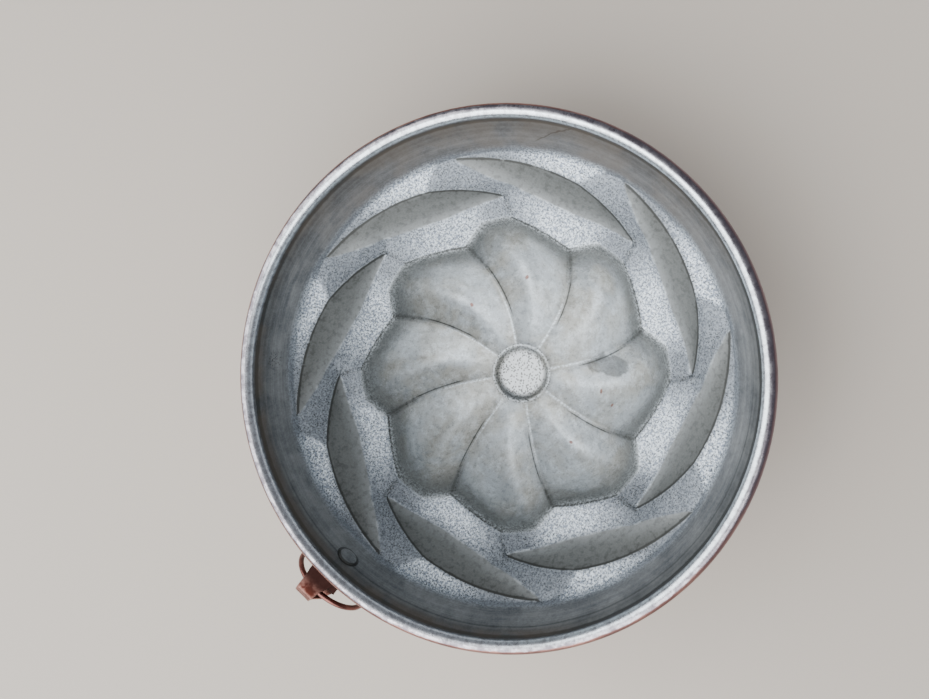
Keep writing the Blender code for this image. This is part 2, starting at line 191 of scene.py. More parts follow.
class Value:
    """A number that a shader works out. Sums written with it add Math nodes."""

    def __init__(self, graph: Graph, socket: NodeSocket) -> None:
        """Wrap a socket of a graph."""
        self.graph = graph
        self.socket = socket

    def math(self, operation: str, *terms: Any) -> "Value":
        """One Math node over the terms, values or numbers."""
        return Value(self.graph, self.graph.out("ShaderNodeMath", {"operation": operation}, dict(enumerate(terms))))

    def __add__(self, other: Any) -> "Value":
        """self + other."""
        return self.math("ADD", self, other)

    def __radd__(self, other: Any) -> "Value":
        """other + self."""
        return self.math("ADD", other, self)

    def __sub__(self, other: Any) -> "Value":
        """self - other."""
        return self.math("SUBTRACT", self, other)

    def __rsub__(self, other: Any) -> "Value":
        """other - self."""
        return self.math("SUBTRACT", other, self)

    def __mul__(self, other: Any) -> "Value":
        """self * other."""
        return self.math("MULTIPLY", self, other)

    def __rmul__(self, other: Any) -> "Value":
        """other * self."""
        return self.math("MULTIPLY", other, self)

    def __truediv__(self, other: Any) -> "Value":
        """self / other."""
        return self.math("DIVIDE", self, other)

    def __pow__(self, power: Any) -> "Value":
        """self to a power."""
        return self.math("POWER", self, power)

    def larger(self, other: Any) -> "Value":
        """The larger of the two."""
        return self.math("MAXIMUM", self, other)

    def smaller(self, other: Any) -> "Value":
        """The smaller of the two."""
        return self.math("MINIMUM", self, other)

    def off(self, middle: float) -> "Value":
        """How far it is from a number, either way."""
        return (self - middle).larger(middle - self)

    def ease(self, low: float, high: float) -> "Value":
        """A smooth step from 0 at low to 1 at high. It falls where low is above high.

        Args:
            low: where the step is 0.
            high: where it is 1.

        Returns:
            The new value.
        """
        start, end, first, last = (low, high, 0.0, 1.0) if low < high else (high, low, 1.0, 0.0)
        made = self.graph.node("ShaderNodeMapRange", {"interpolation_type": "SMOOTHSTEP"},
                               {"Value": self, "From Min": start, "From Max": end,
                                "To Min": first, "To Max": last})
        return Value(self.graph, made.outputs["Result"])


class Paint(Graph):
    """One material: the fields that its finish reads, and its shader."""

    def __init__(self, name: str) -> None:
        """Start a material with a Principled shader.

        Args:
            name: of the material.
        """
        self.material = bpy.data.materials.new(name)
        self.material.use_nodes = True
        super().__init__(self.material.node_tree)
        self.shader = self.node("ShaderNodeBsdfPrincipled")
        output = self.node("ShaderNodeOutputMaterial")
        self.tree.links.new(self.shader.outputs["BSDF"], output.inputs["Surface"])
        self.place = self.node("ShaderNodeTexCoord").outputs["Object"]
        apart = self.node("ShaderNodeSeparateXYZ", inputs={0: self.place})
        self.x, self.y, self.z = (Value(self, apart.outputs[k]) for k in range(3))

    def attribute(self, name: str) -> Value:
        """A number that the piece's own mesh carries."""
        return Value(self, self.node("ShaderNodeAttribute", {"attribute_name": name}).outputs["Fac"])

    def vector(self, x: Any, y: Any, z: Any) -> NodeSocket:
        """A vector made of three numbers."""
        return self.out("ShaderNodeCombineXYZ", inputs={0: x, 1: y, 2: z})

    def from_point(self, point: Point, stretch: Point = (1.0, 1.0, 1.0), turn: float = 0.0) -> NodeSocket:
        """Object coordinates about a point, turned in the plane from above and stretched.

        Args:
            point: where the new origin lies.
            stretch: factors on the three axes, after the turn.
            turn: the angle in degrees that the first axis makes with +X.

        Returns:
            The vector socket.
        """
        moved = self.out("ShaderNodeVectorMath", {"operation": "SUBTRACT"}, {0: self.place, 1: point})
        turned = self.out("ShaderNodeMapping", {"vector_type": "POINT"},
                          {"Vector": moved, "Rotation": (0.0, 0.0, -math.radians(turn))})
        return self.out("ShaderNodeVectorMath", {"operation": "MULTIPLY"}, {0: turned, 1: stretch})

    def length(self, vector: NodeSocket) -> Value:
        """The length of a vector."""
        made = self.node("ShaderNodeVectorMath", {"operation": "LENGTH"}, {0: vector})
        return Value(self, made.outputs["Value"])

    def grain(self, size: float, detail: float = 3.0, rough: float = 0.55,
              vector: Optional[NodeSocket] = None, warp: float = 0.0) -> Value:
        """Soft noise from 0 to 1 whose blotches are about as wide as size, in metres.

        Args:
            size: of a blotch.
            detail: how many finer layers lie on it.
            rough: how strong they are.
            vector: where it is read, or else the place on the object.
            warp: how far it is distorted.

        Returns:
            The noise.
        """
        return Value(self, self.out("ShaderNodeTexNoise", {"noise_dimensions": "3D"},
                                    {"Vector": vector or self.place, "Scale": 1.0 / size, "Detail": detail,
                                     "Roughness": rough, "Distortion": warp}))

    def dots(self, size: float) -> Value:
        """Distance to the nearest of scattered points, 0 at a point and about 1 between them.

        Args:
            size: how far apart the points lie, in metres.

        Returns:
            The distance as a share of size.
        """
        made = self.node("ShaderNodeTexVoronoi", {"voronoi_dimensions": "3D", "feature": "F1"},
                         {"Vector": self.place, "Scale": 1.0 / size})
        return Value(self, made.outputs["Distance"])

    def colour(self, share: Any, low: Any, high: Any) -> NodeSocket:
        """A colour between low and high.

        Args:
            share: 0 for low and 1 for high.
            low: the first colour, as a socket or as a screen shows it.
            high: the second colour.

        Returns:
            The colour socket.
        """
        made = self.node("ShaderNodeMix", {"data_type": "RGBA", "clamp_factor": True})
        colours = [s for s in made.inputs if s.type == "RGBA"]
        self.feed(made.inputs["Factor"], share)
        for socket, value in zip(colours, (low, high)):
            self.feed(socket, linear(value) if isinstance(value, tuple) else value)
        return next(s for s in made.outputs if s.type == "RGBA")

    def bump(self, height: Value, depth: float, strength: float = 1.0) -> None:
        """Give the shader a relief of this depth in metres where the height goes from 0 to 1.

        Args:
            height: the relief.
            depth: in metres.
            strength: how far it counts, 0 to 1.
        """
        made = self.node("ShaderNodeBump", inputs={"Height": height, "Strength": strength, "Distance": depth})
        self.feed(self.shader.inputs["Normal"], made.outputs["Normal"])

    def finish(self, **inputs: Any) -> Material:
        """Feed the shader's inputs, underscores for the spaces in their names, and give the material.

        Args:
            inputs: values by input name.

        Returns:
            The material.
        """
        for name, value in inputs.items():
            self.feed(self.shader.inputs[name.replace("_", " ").title()], value)
        return self.material


@dataclass(frozen=True)
class AgedCopper:
    """Copper that has been handled for years: pinkish where it is rubbed, brown and dark where it isn't, and on the
    strap a painted highlight along the fold and painted shade under the bead.

    Blotch, fine and relief are in metres. Bare numbers are strengths and levels of a grain, from 0 to 1.
    """

    name: str = "aged_copper"
    rubbed: Colour = (214, 142, 116)
    brown: Colour = (150, 84, 58)
    dark: Colour = (66, 36, 30)
    blotch: float = 0.006
    fine: float = 0.0009
    brownness: float = 0.55
    mottle: float = 0.8
    roughness: float = 0.34
    dullness: float = 0.6
    relief: float = 0.00012

    def fields(self, paint: Paint, crest: Any, hollow: Any) -> tuple[NodeSocket, Value, Value, Value]:
        """The colour, roughness, relief and shine of the copper.

        Args:
            paint: the material that the fields are made in.
            crest: how far a place stands proud and is rubbed, and on the strap how far a highlight is painted along
                its fold, 0 to 1.
            hollow: how far a place lies in a fold and is dirty, and on the strap how far shade is painted under the
                bead, 0 to 1.

        Returns:
            The colour socket, the roughness, the height of the fine relief, and how metallic it is.
        """
        cloud = paint.grain(self.blotch, 4.0, 0.6, warp=0.6)
        fine = paint.grain(self.fine, 2.0, 0.6)
        brown = (cloud.ease(0.36, 0.66) - 0.5) * self.mottle + self.brownness + (fine - 0.5) * 0.2 - crest * 0.7
        base = paint.colour(brown, self.rubbed, self.brown)
        # The dark of hollows and blotches; on the strap it also holds painted shade.
        grime_and_shade = (hollow + cloud.ease(0.60, 0.78) * self.mottle * 0.4).smaller(0.98)
        base = paint.colour(grime_and_shade, base, self.dark)
        rough = fine * 0.14 + brown * 0.10 + grime_and_shade * 0.20 + self.roughness - 0.07
        height = fine * 0.35 + cloud * 0.65
        return base, rough, height, 1 - grime_and_shade * self.dullness

    def make(self) -> Material:
        """The material for a piece that is copper all over.

        Returns:
            The material.
        """
        paint = Paint(self.name)
        base, rough, height, metal = self.fields(paint, paint.attribute("crest"), paint.attribute("hollow"))
        paint.bump(height, self.relief, 0.5)
        return paint.finish(base_color=base, roughness=rough, metallic=metal)


OUTSIDE_COPPER = AgedCopper(name="outside_copper", rubbed=(178, 132, 120), brown=(116, 80, 73), dark=(60, 43, 43),
                            brownness=0.62, blotch=0.016)
STRAP_COPPER = AgedCopper(name="strap_copper", rubbed=(196, 150, 138), brown=(60, 29, 23), dark=(32, 11, 8),
                          brownness=0.92, blotch=0.009, mottle=0.30, roughness=0.30, dullness=0.1)
RING_COPPER = AgedCopper(name="ring_copper", rubbed=(128, 86, 80), brown=(54, 28, 26), dark=(22, 12, 12),
                         brownness=0.78, blotch=0.006, mottle=0.4, roughness=0.32, dullness=0.2)


@dataclass(frozen=True)
class IronWire:
    """Dull tinned iron wire with rust freckles."""

    name: str = "iron_wire"
    steel: Colour = (128, 126, 124)
    rust: Colour = (112, 70, 48)
    blotch: float = 0.004
    fine: float = 0.0008
    relief: float = 0.0001

    def make(self) -> Material:
        """The wire's material.

        Returns:
            The material.
        """
        paint = Paint(self.name)
        cloud = paint.grain(self.blotch, 4.0, 0.6)
        freckle = paint.grain(self.fine, 2.0)
        rust = (cloud * 0.6 + freckle * 0.4).ease(0.48, 0.60)
        paint.bump(freckle, self.relief, 0.5)
        return paint.finish(base_color=paint.colour(rust, self.steel, self.rust), roughness=rust * 0.35 + 0.45,
                            metallic=1.0 - rust * 0.7)


class SheetFields:
    """What the finish of the sheet reads: the marks on its points, and a few grains whose sizes are in metres."""

    def __init__(self, paint: Paint) -> None:
        """Make the fields in a material.

        Args:
            paint: the material.
        """
        self.paint = paint
        self.seam, self.crease, self.outline, self.lip, self.ridge, self.fold, self.corner = (
            paint.attribute(line.value) for line in Line)
        self.land, self.wall, self.bead, self.boss = (paint.attribute(zone.value) for zone in Zone)
        # Grains: broad clouds, patches, blotches and fine specks, then the scattered bright and dark grains.
        self.crest, self.hollow = paint.attribute("crest"), paint.attribute("hollow")
        self.cloud = paint.grain(0.016, 3.0, 0.55, warp=0.3)
        self.patch = paint.grain(0.005, 3.0, 0.6)
        self.mottle = paint.grain(0.0022, 3.0, 0.6)
        self.speck = paint.grain(0.00085, 3.0, 0.7)
        self.bright_grain = self.speck.ease(0.42, 0.58)
        self.dark_grain = paint.dots(0.00082).ease(0.46, 0.18) * self.mottle.ease(0.22, 0.46)
        self.dot = paint.dots(0.00095).ease(0.46, 0.26)
        # The edges of the scoops and facets wander a little with the patches.
        uneven = self.patch - 0.5
        self.crescent = (paint.attribute("into_crescent") + uneven * 0.0005).ease(-0.0002, 0.0003)
        self.petal = (paint.attribute("into_petal") + uneven * 0.0004).ease(-0.0007, -0.0003) * (1 - self.boss)
        self.bare = self.land * (1 - self.crescent)
        # The lands' turned facets take a painted shade.
        self.facet = (paint.attribute("facet") + uneven * 0.2) * self.land.ease(0.05, 0.40)
        self.inside = self.outline.smaller(self.lip).ease(0.0, 0.0230)
        side = paint.attribute("seam_side")
        self.side, self.side_far = side.ease(-0.05, 0.05), side.ease(-0.05, -0.70)
        self.radius = (paint.x * paint.x + paint.y * paint.y) ** 0.5
        # Read at radius and height only, the grain makes streaks that run round the wall.
        turned = paint.grain(0.0011, 3.0, 0.7, vector=paint.vector(self.radius, 0.0, paint.z))
        self.streak = turned.ease(0.40, 0.62)

    def towards(self, azimuth: float, low: float, high: float) -> Value:
        """How far a place lies on one side of the axis.

        Args:
            azimuth: of the middle of that side, in degrees.
            low: cosine of the angle off it where the side starts.
            high: the same where it counts fully.

        Returns:
            A share from 0 to 1.
        """
        angle = math.radians(azimuth)
        along = self.paint.x * math.cos(angle) + self.paint.y * math.sin(angle)
        return (along / (self.radius + 1e-6)).ease(low, high)

    def near(self, spot: Spot) -> Value:
        """How far a place lies in a spot, 0 to 1, with an uneven edge.

        Args:
            spot: where, how large and how long the spot is.

        Returns:
            A share from 0 to 1.
        """
        stretch = (1.0 / spot.half_length, 1.0 / spot.half_width, 1.0 / spot.half_width)
        off = self.paint.length(self.paint.from_point(spot.place, stretch, spot.turn))
        return (off + (self.patch - 0.5) * spot.uneven).ease(1.0 + spot.soft, 1.0 - spot.soft)


@dataclass(frozen=True)
class Shine:
    """Where the tin is rubbed bright, and where highlights are painted on it.

    A pair says where a shine starts and where it is full, in metres: from the axis if its name says radius, and
    otherwise from its own line of the relief. Bare numbers are strengths and levels of a grain, from 0 to 1.
    """

    flank_radius: Pair = (0.020, 0.032)
    flank_off_outline: Pair = (0.006, 0.014)
    crease_width: Pair = (0.0040, 0.0)
    crease_start_radius: Pair = (0.012, 0.030)
    crease_end_radius: Pair = (0.058, 0.046)
    fold_width: Pair = (0.0009, 0.0002)
    lip_width: Pair = (0.0015, 0.0003)
    ridge_width: Pair = (0.0008, 0.0002)
    ring_middle_radius: float = 0.0129
    ring_width: Pair = (0.0005, 0.0001)
    ring_unevenness: float = 0.0006
    bead_radius: Pair = (0.0975, 0.0965)
    shaded_bead_side: Side = (-5.0, 0.2, 0.9)
    weld_width: Pair = (0.0009, 0.0002)
    weld_unevenness: Pair = (0.0016, 0.0008)
    weld_start_radius: Pair = (0.013, 0.015)
    weld_end_radius: Pair = (0.044, 0.030)

    def share(self, at: SheetFields) -> Value:
        """How far the tin is rubbed bright in all.

        Args:
            at: the fields of the sheet.

        Returns:
            A share from 0 to 1.
        """
        parts = [self.grains(at), self.flank(at), at.crest * (0.22 - at.facet * 0.2), self.weld(at),
                 *self.lines(at), self.ring(at), self.bead(at)]
        return sum(parts[1:], parts[0]).smaller(1.0)

    def grains(self, at: SheetFields) -> Value:
        """The bright grains of the lands, and the fewer ones in the petals.

        Args:
            at: the fields of the sheet.

        Returns:
            A share from 0 to 1.
        """
        light = at.petal * at.inside * (at.patch.ease(0.46, 0.62) * 0.24 + 0.04)
        grains = at.bright_grain * (at.bare * (0.85 - at.facet * 0.72) + light * 0.6 + 0.04) + light * 0.5
        return grains.smaller(0.9) * (1 - at.bead)

    def flank(self, at: SheetFields) -> Value:
        """A painted highlight on the flank of each petal, beyond its seam."""
        far = at.petal * at.side_far * at.radius.ease(*self.flank_radius)
        return far * at.outline.ease(*self.flank_off_outline) * 0.27

    def weld(self, at: SheetFields) -> Value:
        """The bright ridge of each seam near the boss, with its ragged edge: worn tin and a painted highlight on
        its crest.

        Args:
            at: the fields of the sheet.

        Returns:
            A share from 0 to 1.
        """
        coarse, fine = self.weld_unevenness
        off = at.seam + (at.speck - 0.5) * coarse + (at.patch - 0.5) * fine
        line = off.ease(*self.weld_width) * at.radius.ease(*self.weld_end_radius)
        return line * at.radius.ease(*self.weld_start_radius) * (at.bright_grain * 0.85 + 0.12)

    def lines(self, at: SheetFields) -> list[Value]:
        """The painted highlights on the creases, folds, lips and ridges.

        Args:
            at: the fields of the sheet.

        Returns:
            A share from 0 to 1 for each.
        """
        crease = at.petal * at.crease.ease(*self.crease_width) * 0.35 * at.radius.ease(*self.crease_start_radius)
        fold = at.fold.ease(*self.fold_width) * 0.22 * at.patch.ease(0.45, 0.60)
        ridge = at.ridge.ease(*self.ridge_width) * (1 - at.crescent) * at.patch.ease(0.45, 0.60) * 0.15
        return [crease * at.radius.ease(*self.crease_end_radius), fold,
                at.lip.ease(*self.lip_width) * at.land * 0.5, ridge]

    def ring(self, at: SheetFields) -> Value:
        """The ridge round the boss, bright with worn tin and a painted highlight."""
        off = at.radius.off(self.ring_middle_radius) + (at.speck - 0.5) * self.ring_unevenness
        return off.ease(*self.ring_width) * at.patch.ease(0.30, 0.50) * (at.bright_grain * 0.9 + 0.1)

    def bead(self, at: SheetFields) -> Value:
        """The painted highlight on the inner half of the bead, less on the side that is given painted shade."""
        bead = at.bead * at.radius.ease(*self.bead_radius) * (at.bright_grain * 0.25 + 0.75)
        return bead * (at.mottle.ease(0.60, 0.44) * 0.4 + 0.6) * (1 - at.towards(*self.shaded_bead_side) * 0.6)


@dataclass(frozen=True)
class GrimeAndShade:
    """Where the tin is dark: dirty, and where shade is painted on it. Its pairs and bare numbers read as those of
    Shine, and heights are over the ground.
    """

    outline_width: Pair = (0.0012, 0.0002)
    corner_width: Pair = (0.0016, 0.0002)
    lip_width: Pair = (0.0012, 0.0003)
    ridge_width: Pair = (0.0015, 0.0005)
    ridge_shade: Pair = (0.0085, 0.0)
    ridge_foot: Pair = (0.0020, 0.0002)
    beside_seam: float = 0.0013
    beside_width: Pair = (0.0005, 0.0001)
    beside_start_radius: Pair = (0.025, 0.030)
    beside_end_radius: Pair = (0.050, 0.044)
    seam_shade: Pair = (0.0042, 0.0008)
    seam_shade_radius: Pair = (0.013, 0.016)
    notch_width: Pair = (0.0020, 0.0006)
    notch_radius: Pair = (0.040, 0.052)
    gap_middle_radius: float = 0.0116
    gap_width: Pair = (0.0009, 0.0002)
    disc_shade_radius: Pair = (0.0085, 0.0112)
    disc_shade_side: Side = (45.0, -0.1, 0.8)
    groove_height: Pair = (0.0694, 0.0703)
    wall_shade_height: Pair = (0.0610, 0.0690)
    scratch_height: float = 0.0655
    scratch_width: Pair = (0.0005, 0.0001)
    scratch_side: Side = (50.0, 0.1, 0.4)
    crack: tuple[Point, Point] = ((-0.0790, -0.0445, 0.0590), (-0.0896, -0.0316, 0.0715))
    crack_width: Pair = (0.00045, 0.00010)
    crack_unevenness: float = 0.0030
    crack_start: Pair = (-0.002, 0.004)
    crack_end: Pair = (0.002, -0.006)
    crack_side: Pair = (0.0, 0.05)
    rivet: Point = (0.0925, 0.0012, 0.0638)
    rivet_size: Pair = (0.0044, 0.0032)
    rivet_side: Pair = (0.080, 0.088)

    def share(self, at: SheetFields) -> Value:
        """How far the tin is dark in all.

        Args:
            at: the fields of the sheet.

        Returns:
            A share from 0 to 1.
        """
        parts = [at.cloud.ease(0.52, 0.74) * 0.12, self.grains(at), at.hollow * 0.45, *self.lines(at),
                 *self.seams(at), *self.wall(at), self.boss(at), self.cracked(at) * 0.6, self.round_rivet(at) * 0.7]
        return sum(parts[1:], parts[0]).smaller(0.9)

    def grains(self, at: SheetFields) -> Value:
        """The dark grains and blotches of every zone.

        Args:
            at: the fields of the sheet.

        Returns:
            A share from 0 to 1.
        """
        grains = at.dark_grain * (at.bare * 0.74 + at.petal * 0.12 + 0.05) + at.dot * at.boss * 0.85
        blotches = at.mottle.ease(0.48, 0.66) * (at.petal * 0.12 + at.crescent * 0.18 + 0.10)
        return grains + blotches * (1 - at.boss)

    def lines(self, at: SheetFields) -> list[Value]:
        """The painted shade beside the petals' outlines, corners and lips, and along the ridges and at their feet.

        Args:
            at: the fields of the sheet.

        Returns:
            A share from 0 to 1 for each.
        """
        ridge = at.ridge.ease(*self.ridge_width) * 0.72 * at.patch.ease(0.26, 0.40)
        ridge = (ridge + at.ridge.ease(*self.ridge_shade) * 0.34) * at.crescent
        return [at.outline.ease(*self.outline_width) * (at.petal * 0.35 + 0.35) * at.cloud.ease(0.30, 0.48),
                at.corner.ease(*self.corner_width) * at.land * 0.45 * at.patch.ease(0.28, 0.46),
                at.lip.ease(*self.lip_width) * at.petal * 0.25,
                ridge + at.ridge.ease(*self.ridge_foot) * at.land * (1 - at.crescent) * 0.32]

    def seams(self, at: SheetFields) -> list[Value]:
        """The painted shade on one side of each seam, as a dark line and a soft band, and at the seam's own dark
        outer end.

        Args:
            at: the fields of the sheet.

        Returns:
            A share from 0 to 1 for each.
        """
        beside = at.seam.off(self.beside_seam).ease(*self.beside_width) * at.side
        beside = beside * at.radius.ease(*self.beside_start_radius) * at.radius.ease(*self.beside_end_radius) * 0.55
        shade = at.seam.ease(*self.seam_shade) * at.side * at.petal * at.radius.ease(*self.seam_shade_radius)
        return [beside + shade * 0.22,
                at.seam.ease(*self.notch_width) * at.petal * at.radius.ease(*self.notch_radius) * 0.40]

    def wall(self, at: SheetFields) -> list[Value]:
        """The painted shade in the groove under the bead and on the wall below it, and a scratch round the wall.

        Args:
            at: the fields of the sheet.

        Returns:
            A share from 0 to 1 for each.
        """
        scratch = at.paint.z.off(self.scratch_height).ease(*self.scratch_width) * at.wall
        return [at.paint.z.ease(*self.groove_height) * at.wall * 0.65,
                at.paint.z.ease(*self.wall_shade_height) * at.wall * 0.42,
                scratch * at.towards(*self.scratch_side) * 0.30]

    def boss(self, at: SheetFields) -> Value:
        """The dark line in the groove round the boss, and the painted shade at the disc's edge, more on one side.

        Args:
            at: the fields of the sheet.

        Returns:
            A share from 0 to 1.
        """
        gap = at.radius.off(self.gap_middle_radius).ease(*self.gap_width) * (at.patch.ease(0.30, 0.60) * 0.3 + 0.1)
        shade = at.radius.ease(*self.disc_shade_radius) * at.boss
        return gap + shade * (at.towards(*self.disc_shade_side) * 0.22 + 0.06)

    def round_rivet(self, at: SheetFields) -> Value:
        """The dark line round the rivet's head, 0 to 1.

        Args:
            at: the fields of the sheet.

        Returns:
            A share from 0 to 1.
        """
        across, high = self.rivet_size
        off = at.paint.length(at.paint.from_point(self.rivet, (0.0, 1 / across, 1 / high)))
        return off.ease(0.96, 1.03) * off.ease(1.15, 1.08) * at.paint.x.ease(*self.rivet_side) * at.wall

    def cracked(self, at: SheetFields) -> Value:
        """The hair crack that climbs the wall, 0 to 1.

        Args:
            at: the fields of the sheet.

        Returns:
            A share from 0 to 1.
        """
        start, end = (Vector(point) for point in self.crack)
        along = (end - start).normalized()
        outwards = Vector((start.x + end.x, start.y + end.y, 0)).normalized()
        across = along.cross(outwards).normalized()
        paint = at.paint
        way, off = (paint.x * axis.x + paint.y * axis.y + paint.z * axis.z - axis.dot(start)
                    for axis in (along, across))
        off = off + (at.patch - 0.5) * self.crack_unevenness
        size = (end - start).length
        inside = way.ease(*self.crack_start) * way.ease(*(size + place for place in self.crack_end))
        return off.larger(0 - off).ease(*self.crack_width) * inside * (paint.x * -1).ease(*self.crack_side)


@dataclass(frozen=True)
class TinnedSheet:
    """Copper sheet tinned on its inside, with the wear and soil of each zone of the relief, and light and shade
    painted on it.
    """

    copper: AgedCopper
    name: str = "tinned_sheet"
    shine: Shine = Shine()
    grime_and_shade: GrimeAndShade = GrimeAndShade()
    bright: Colour = (237, 247, 255)
    disc: Colour = (246, 251, 255)
    land: Colour = (134, 145, 161)
    # A facet's tone is painted shade on the lands' turned facets.
    facet: Colour = (108, 115, 124)
    petal: Colour = (164, 171, 176)
    beige: Colour = (167, 167, 161)
    # A petal's edge is darker: dirty, and in painted shade where it climbs steeply.
    petal_edge: Colour = (94, 98, 98)
    # The crescents' tones: their own duller tin, darkened as painted shade, darkest under the ridge.
    crescent: Colour = (110, 113, 112)
    crescent_light: Colour = (140, 144, 145)
    wall: Colour = (84, 88, 93)
    wall_light: Colour = (134, 137, 139)
    # The darkest tin: stains, soil and painted shade.
    dark_grime_and_shade: Colour = (44, 45, 43)
    brown: Colour = (92, 80, 68)
    bead: Colour = (190, 187, 194)
    bead_dull: Colour = (126, 120, 128)
    shade: Colour = (122, 112, 124)
    pit: Colour = (134, 78, 60)
    metal: float = 0.42
    roughness: float = 0.46
    relief: float = 0.00010
    worn_blotch: float = 0.004
    crescent_light_width: Pair = (0.0072, 0.0)
    disc_radius: Pair = (0.0112, 0.0090)
    bead_outside_radius: Pair = (0.0966, 0.0976)
    bead_shade_radius: Pair = (0.0970, 0.0985)
    bead_shade_side: Side = (150.0, 0.3, 0.95)
    worn_bead_side: Side = (50.0, 0.2, 0.8)
    brown_height: Pair = (0.0655, 0.0690)
    brown_side: Side = (-15.0, 0.1, 0.5)
    warm_side: Side = (215.0, 0.2, 0.95)
    stain: Spot = Spot((-0.0282, 0.0280, 0.0100), 0.0122, 0.0052, 133.0, 0.9, 0.12)
    pitted: Spot = Spot((0.0536, -0.0745, 0.0618), 0.0035, 0.0030, 35.0, 1.2, 0.5)
    pits: tuple[Spot, ...] = (
        Spot((-0.0096, -0.0373, 0.0055), 0.0010, 0.0007, 70.0, 1.2, 0.4),
        Spot((-0.0355, -0.0249, 0.0072), 0.0011, 0.0008, 20.0, 1.2, 0.4),
        Spot((0.0089, 0.0370, 0.0052), 0.0010, 0.0007, 100.0, 1.2, 0.4),
        Spot((-0.0171, 0.0326, 0.0052), 0.0012, 0.0006, 40.0, 1.2, 0.4),
        Spot((-0.0160, 0.0402, 0.0105), 0.0009, 0.0007, 10.0, 1.2, 0.4))

    def tone(self, at: SheetFields) -> NodeSocket:
        """The colour of clean tin in each zone.

        Args:
            at: the fields of the sheet.

        Returns:
            The colour socket.
        """
        paint = at.paint
        wall = at.streak * 0.4 + at.cloud.ease(0.36, 0.62) * 0.5 + at.patch.ease(0.40, 0.60) * 0.2
        # Painted shade darkens each crescent from its fold up to its ridge.
        scoop = paint.colour(at.fold.ease(*self.crescent_light_width), self.crescent, self.crescent_light)
        petal = paint.colour(at.cloud.ease(0.38, 0.62), self.petal, self.beige)
        dull = at.patch.ease(0.44, 0.58) * (at.radius.ease(*self.bead_outside_radius) * 0.6 + 0.2)
        dull = dull + at.mottle.ease(0.45, 0.60) * 0.4
        tone = paint.colour(wall, self.wall, self.wall_light)
        # Over the wall: lands; facets darkened as painted shade; crescents, duller tin darkened partly as painted
        # shade; petals darker towards their edges, dirty and in painted shade; the boss's disc; and the bead.
        for share, colour in ((at.land, self.land), (at.facet, self.facet), (at.crescent, scoop),
                              (at.petal.larger(at.boss), paint.colour(at.inside, self.petal_edge, petal)),
                              (at.boss * at.radius.ease(*self.disc_radius), self.disc),
                              (at.bead, paint.colour(dull, self.bead, self.bead_dull))):
            tone = paint.colour(share, tone, colour)
        return tone

    def spotted(self, at: SheetFields, tone: NodeSocket) -> NodeSocket:
        """Put the stains and pits on a colour.

        Args:
            at: the fields of the sheet.
            tone: the colour without them.

        Returns:
            The colour socket.
        """
        paint = at.paint
        brown = paint.z.ease(*self.brown_height) * at.wall * at.towards(*self.brown_side) * at.cloud.ease(0.3, 0.6)
        warm = at.wall * at.towards(*self.warm_side) * (at.cloud.ease(0.35, 0.60) * 0.3 + 0.25)
        tone = paint.colour(brown * 0.55 + warm, tone, self.brown)
        tone = paint.colour(at.near(self.stain) * 0.50, tone, self.dark_grime_and_shade)
        tone = paint.colour(at.near(self.pitted) * at.dark_grain * 0.8, tone, self.dark_grime_and_shade)
        for spot in self.pits:
            near = at.near(spot)
            tone = paint.colour(near * 0.8, tone, self.pit)
            tone = paint.colour((near - 0.6) * at.dark_grain * 2.0, tone, self.dark_grime_and_shade)
        return tone

    def make(self) -> Material:
        """The material of the pressed sheet, and of the rivet that was tinned with it.

        Returns:
            The material.
        """
        paint = Paint(self.name)
        at = SheetFields(paint)
        # Bright wear and painted highlights lighten the tone, then soil and painted shade darken it.
        tone = paint.colour(self.shine.share(at), self.tone(at), self.bright)
        tone = self.spotted(at, paint.colour(self.grime_and_shade.share(at), tone, self.dark_grime_and_shade))
        worn = (paint.grain(self.worn_blotch, 3.0) - 0.5) * 0.5 - at.bead * at.towards(*self.worn_bead_side) * 0.22
        lined = (paint.attribute("lining") + worn).ease(0.42, 0.58)
        base, rough, height, metal = self.copper.fields(paint, at.crest, at.hollow)
        tin_rough = at.speck * 0.12 + at.streak * at.wall * 0.08 - at.crest * 0.08 - at.bead * 0.22 + self.roughness
        tin_height = at.speck * 0.8 + at.streak * at.wall * 0.3 + self.shine.weld(at) * 0.8 + at.patch * 0.4
        tin_metal = at.bead * 0.54 + self.metal * (1 - at.boss)
        paint.bump(blend(height, tin_height, lined), self.relief, 0.6)
        shade = at.bead * (at.towards(*self.bead_shade_side) * 0.6 + 0.15) * at.radius.ease(*self.bead_shade_radius)
        return paint.finish(base_color=paint.colour(shade, paint.colour(lined, base, tone), self.shade),
                            roughness=blend(rough, tin_rough, lined), metallic=blend(metal, tin_metal, lined))


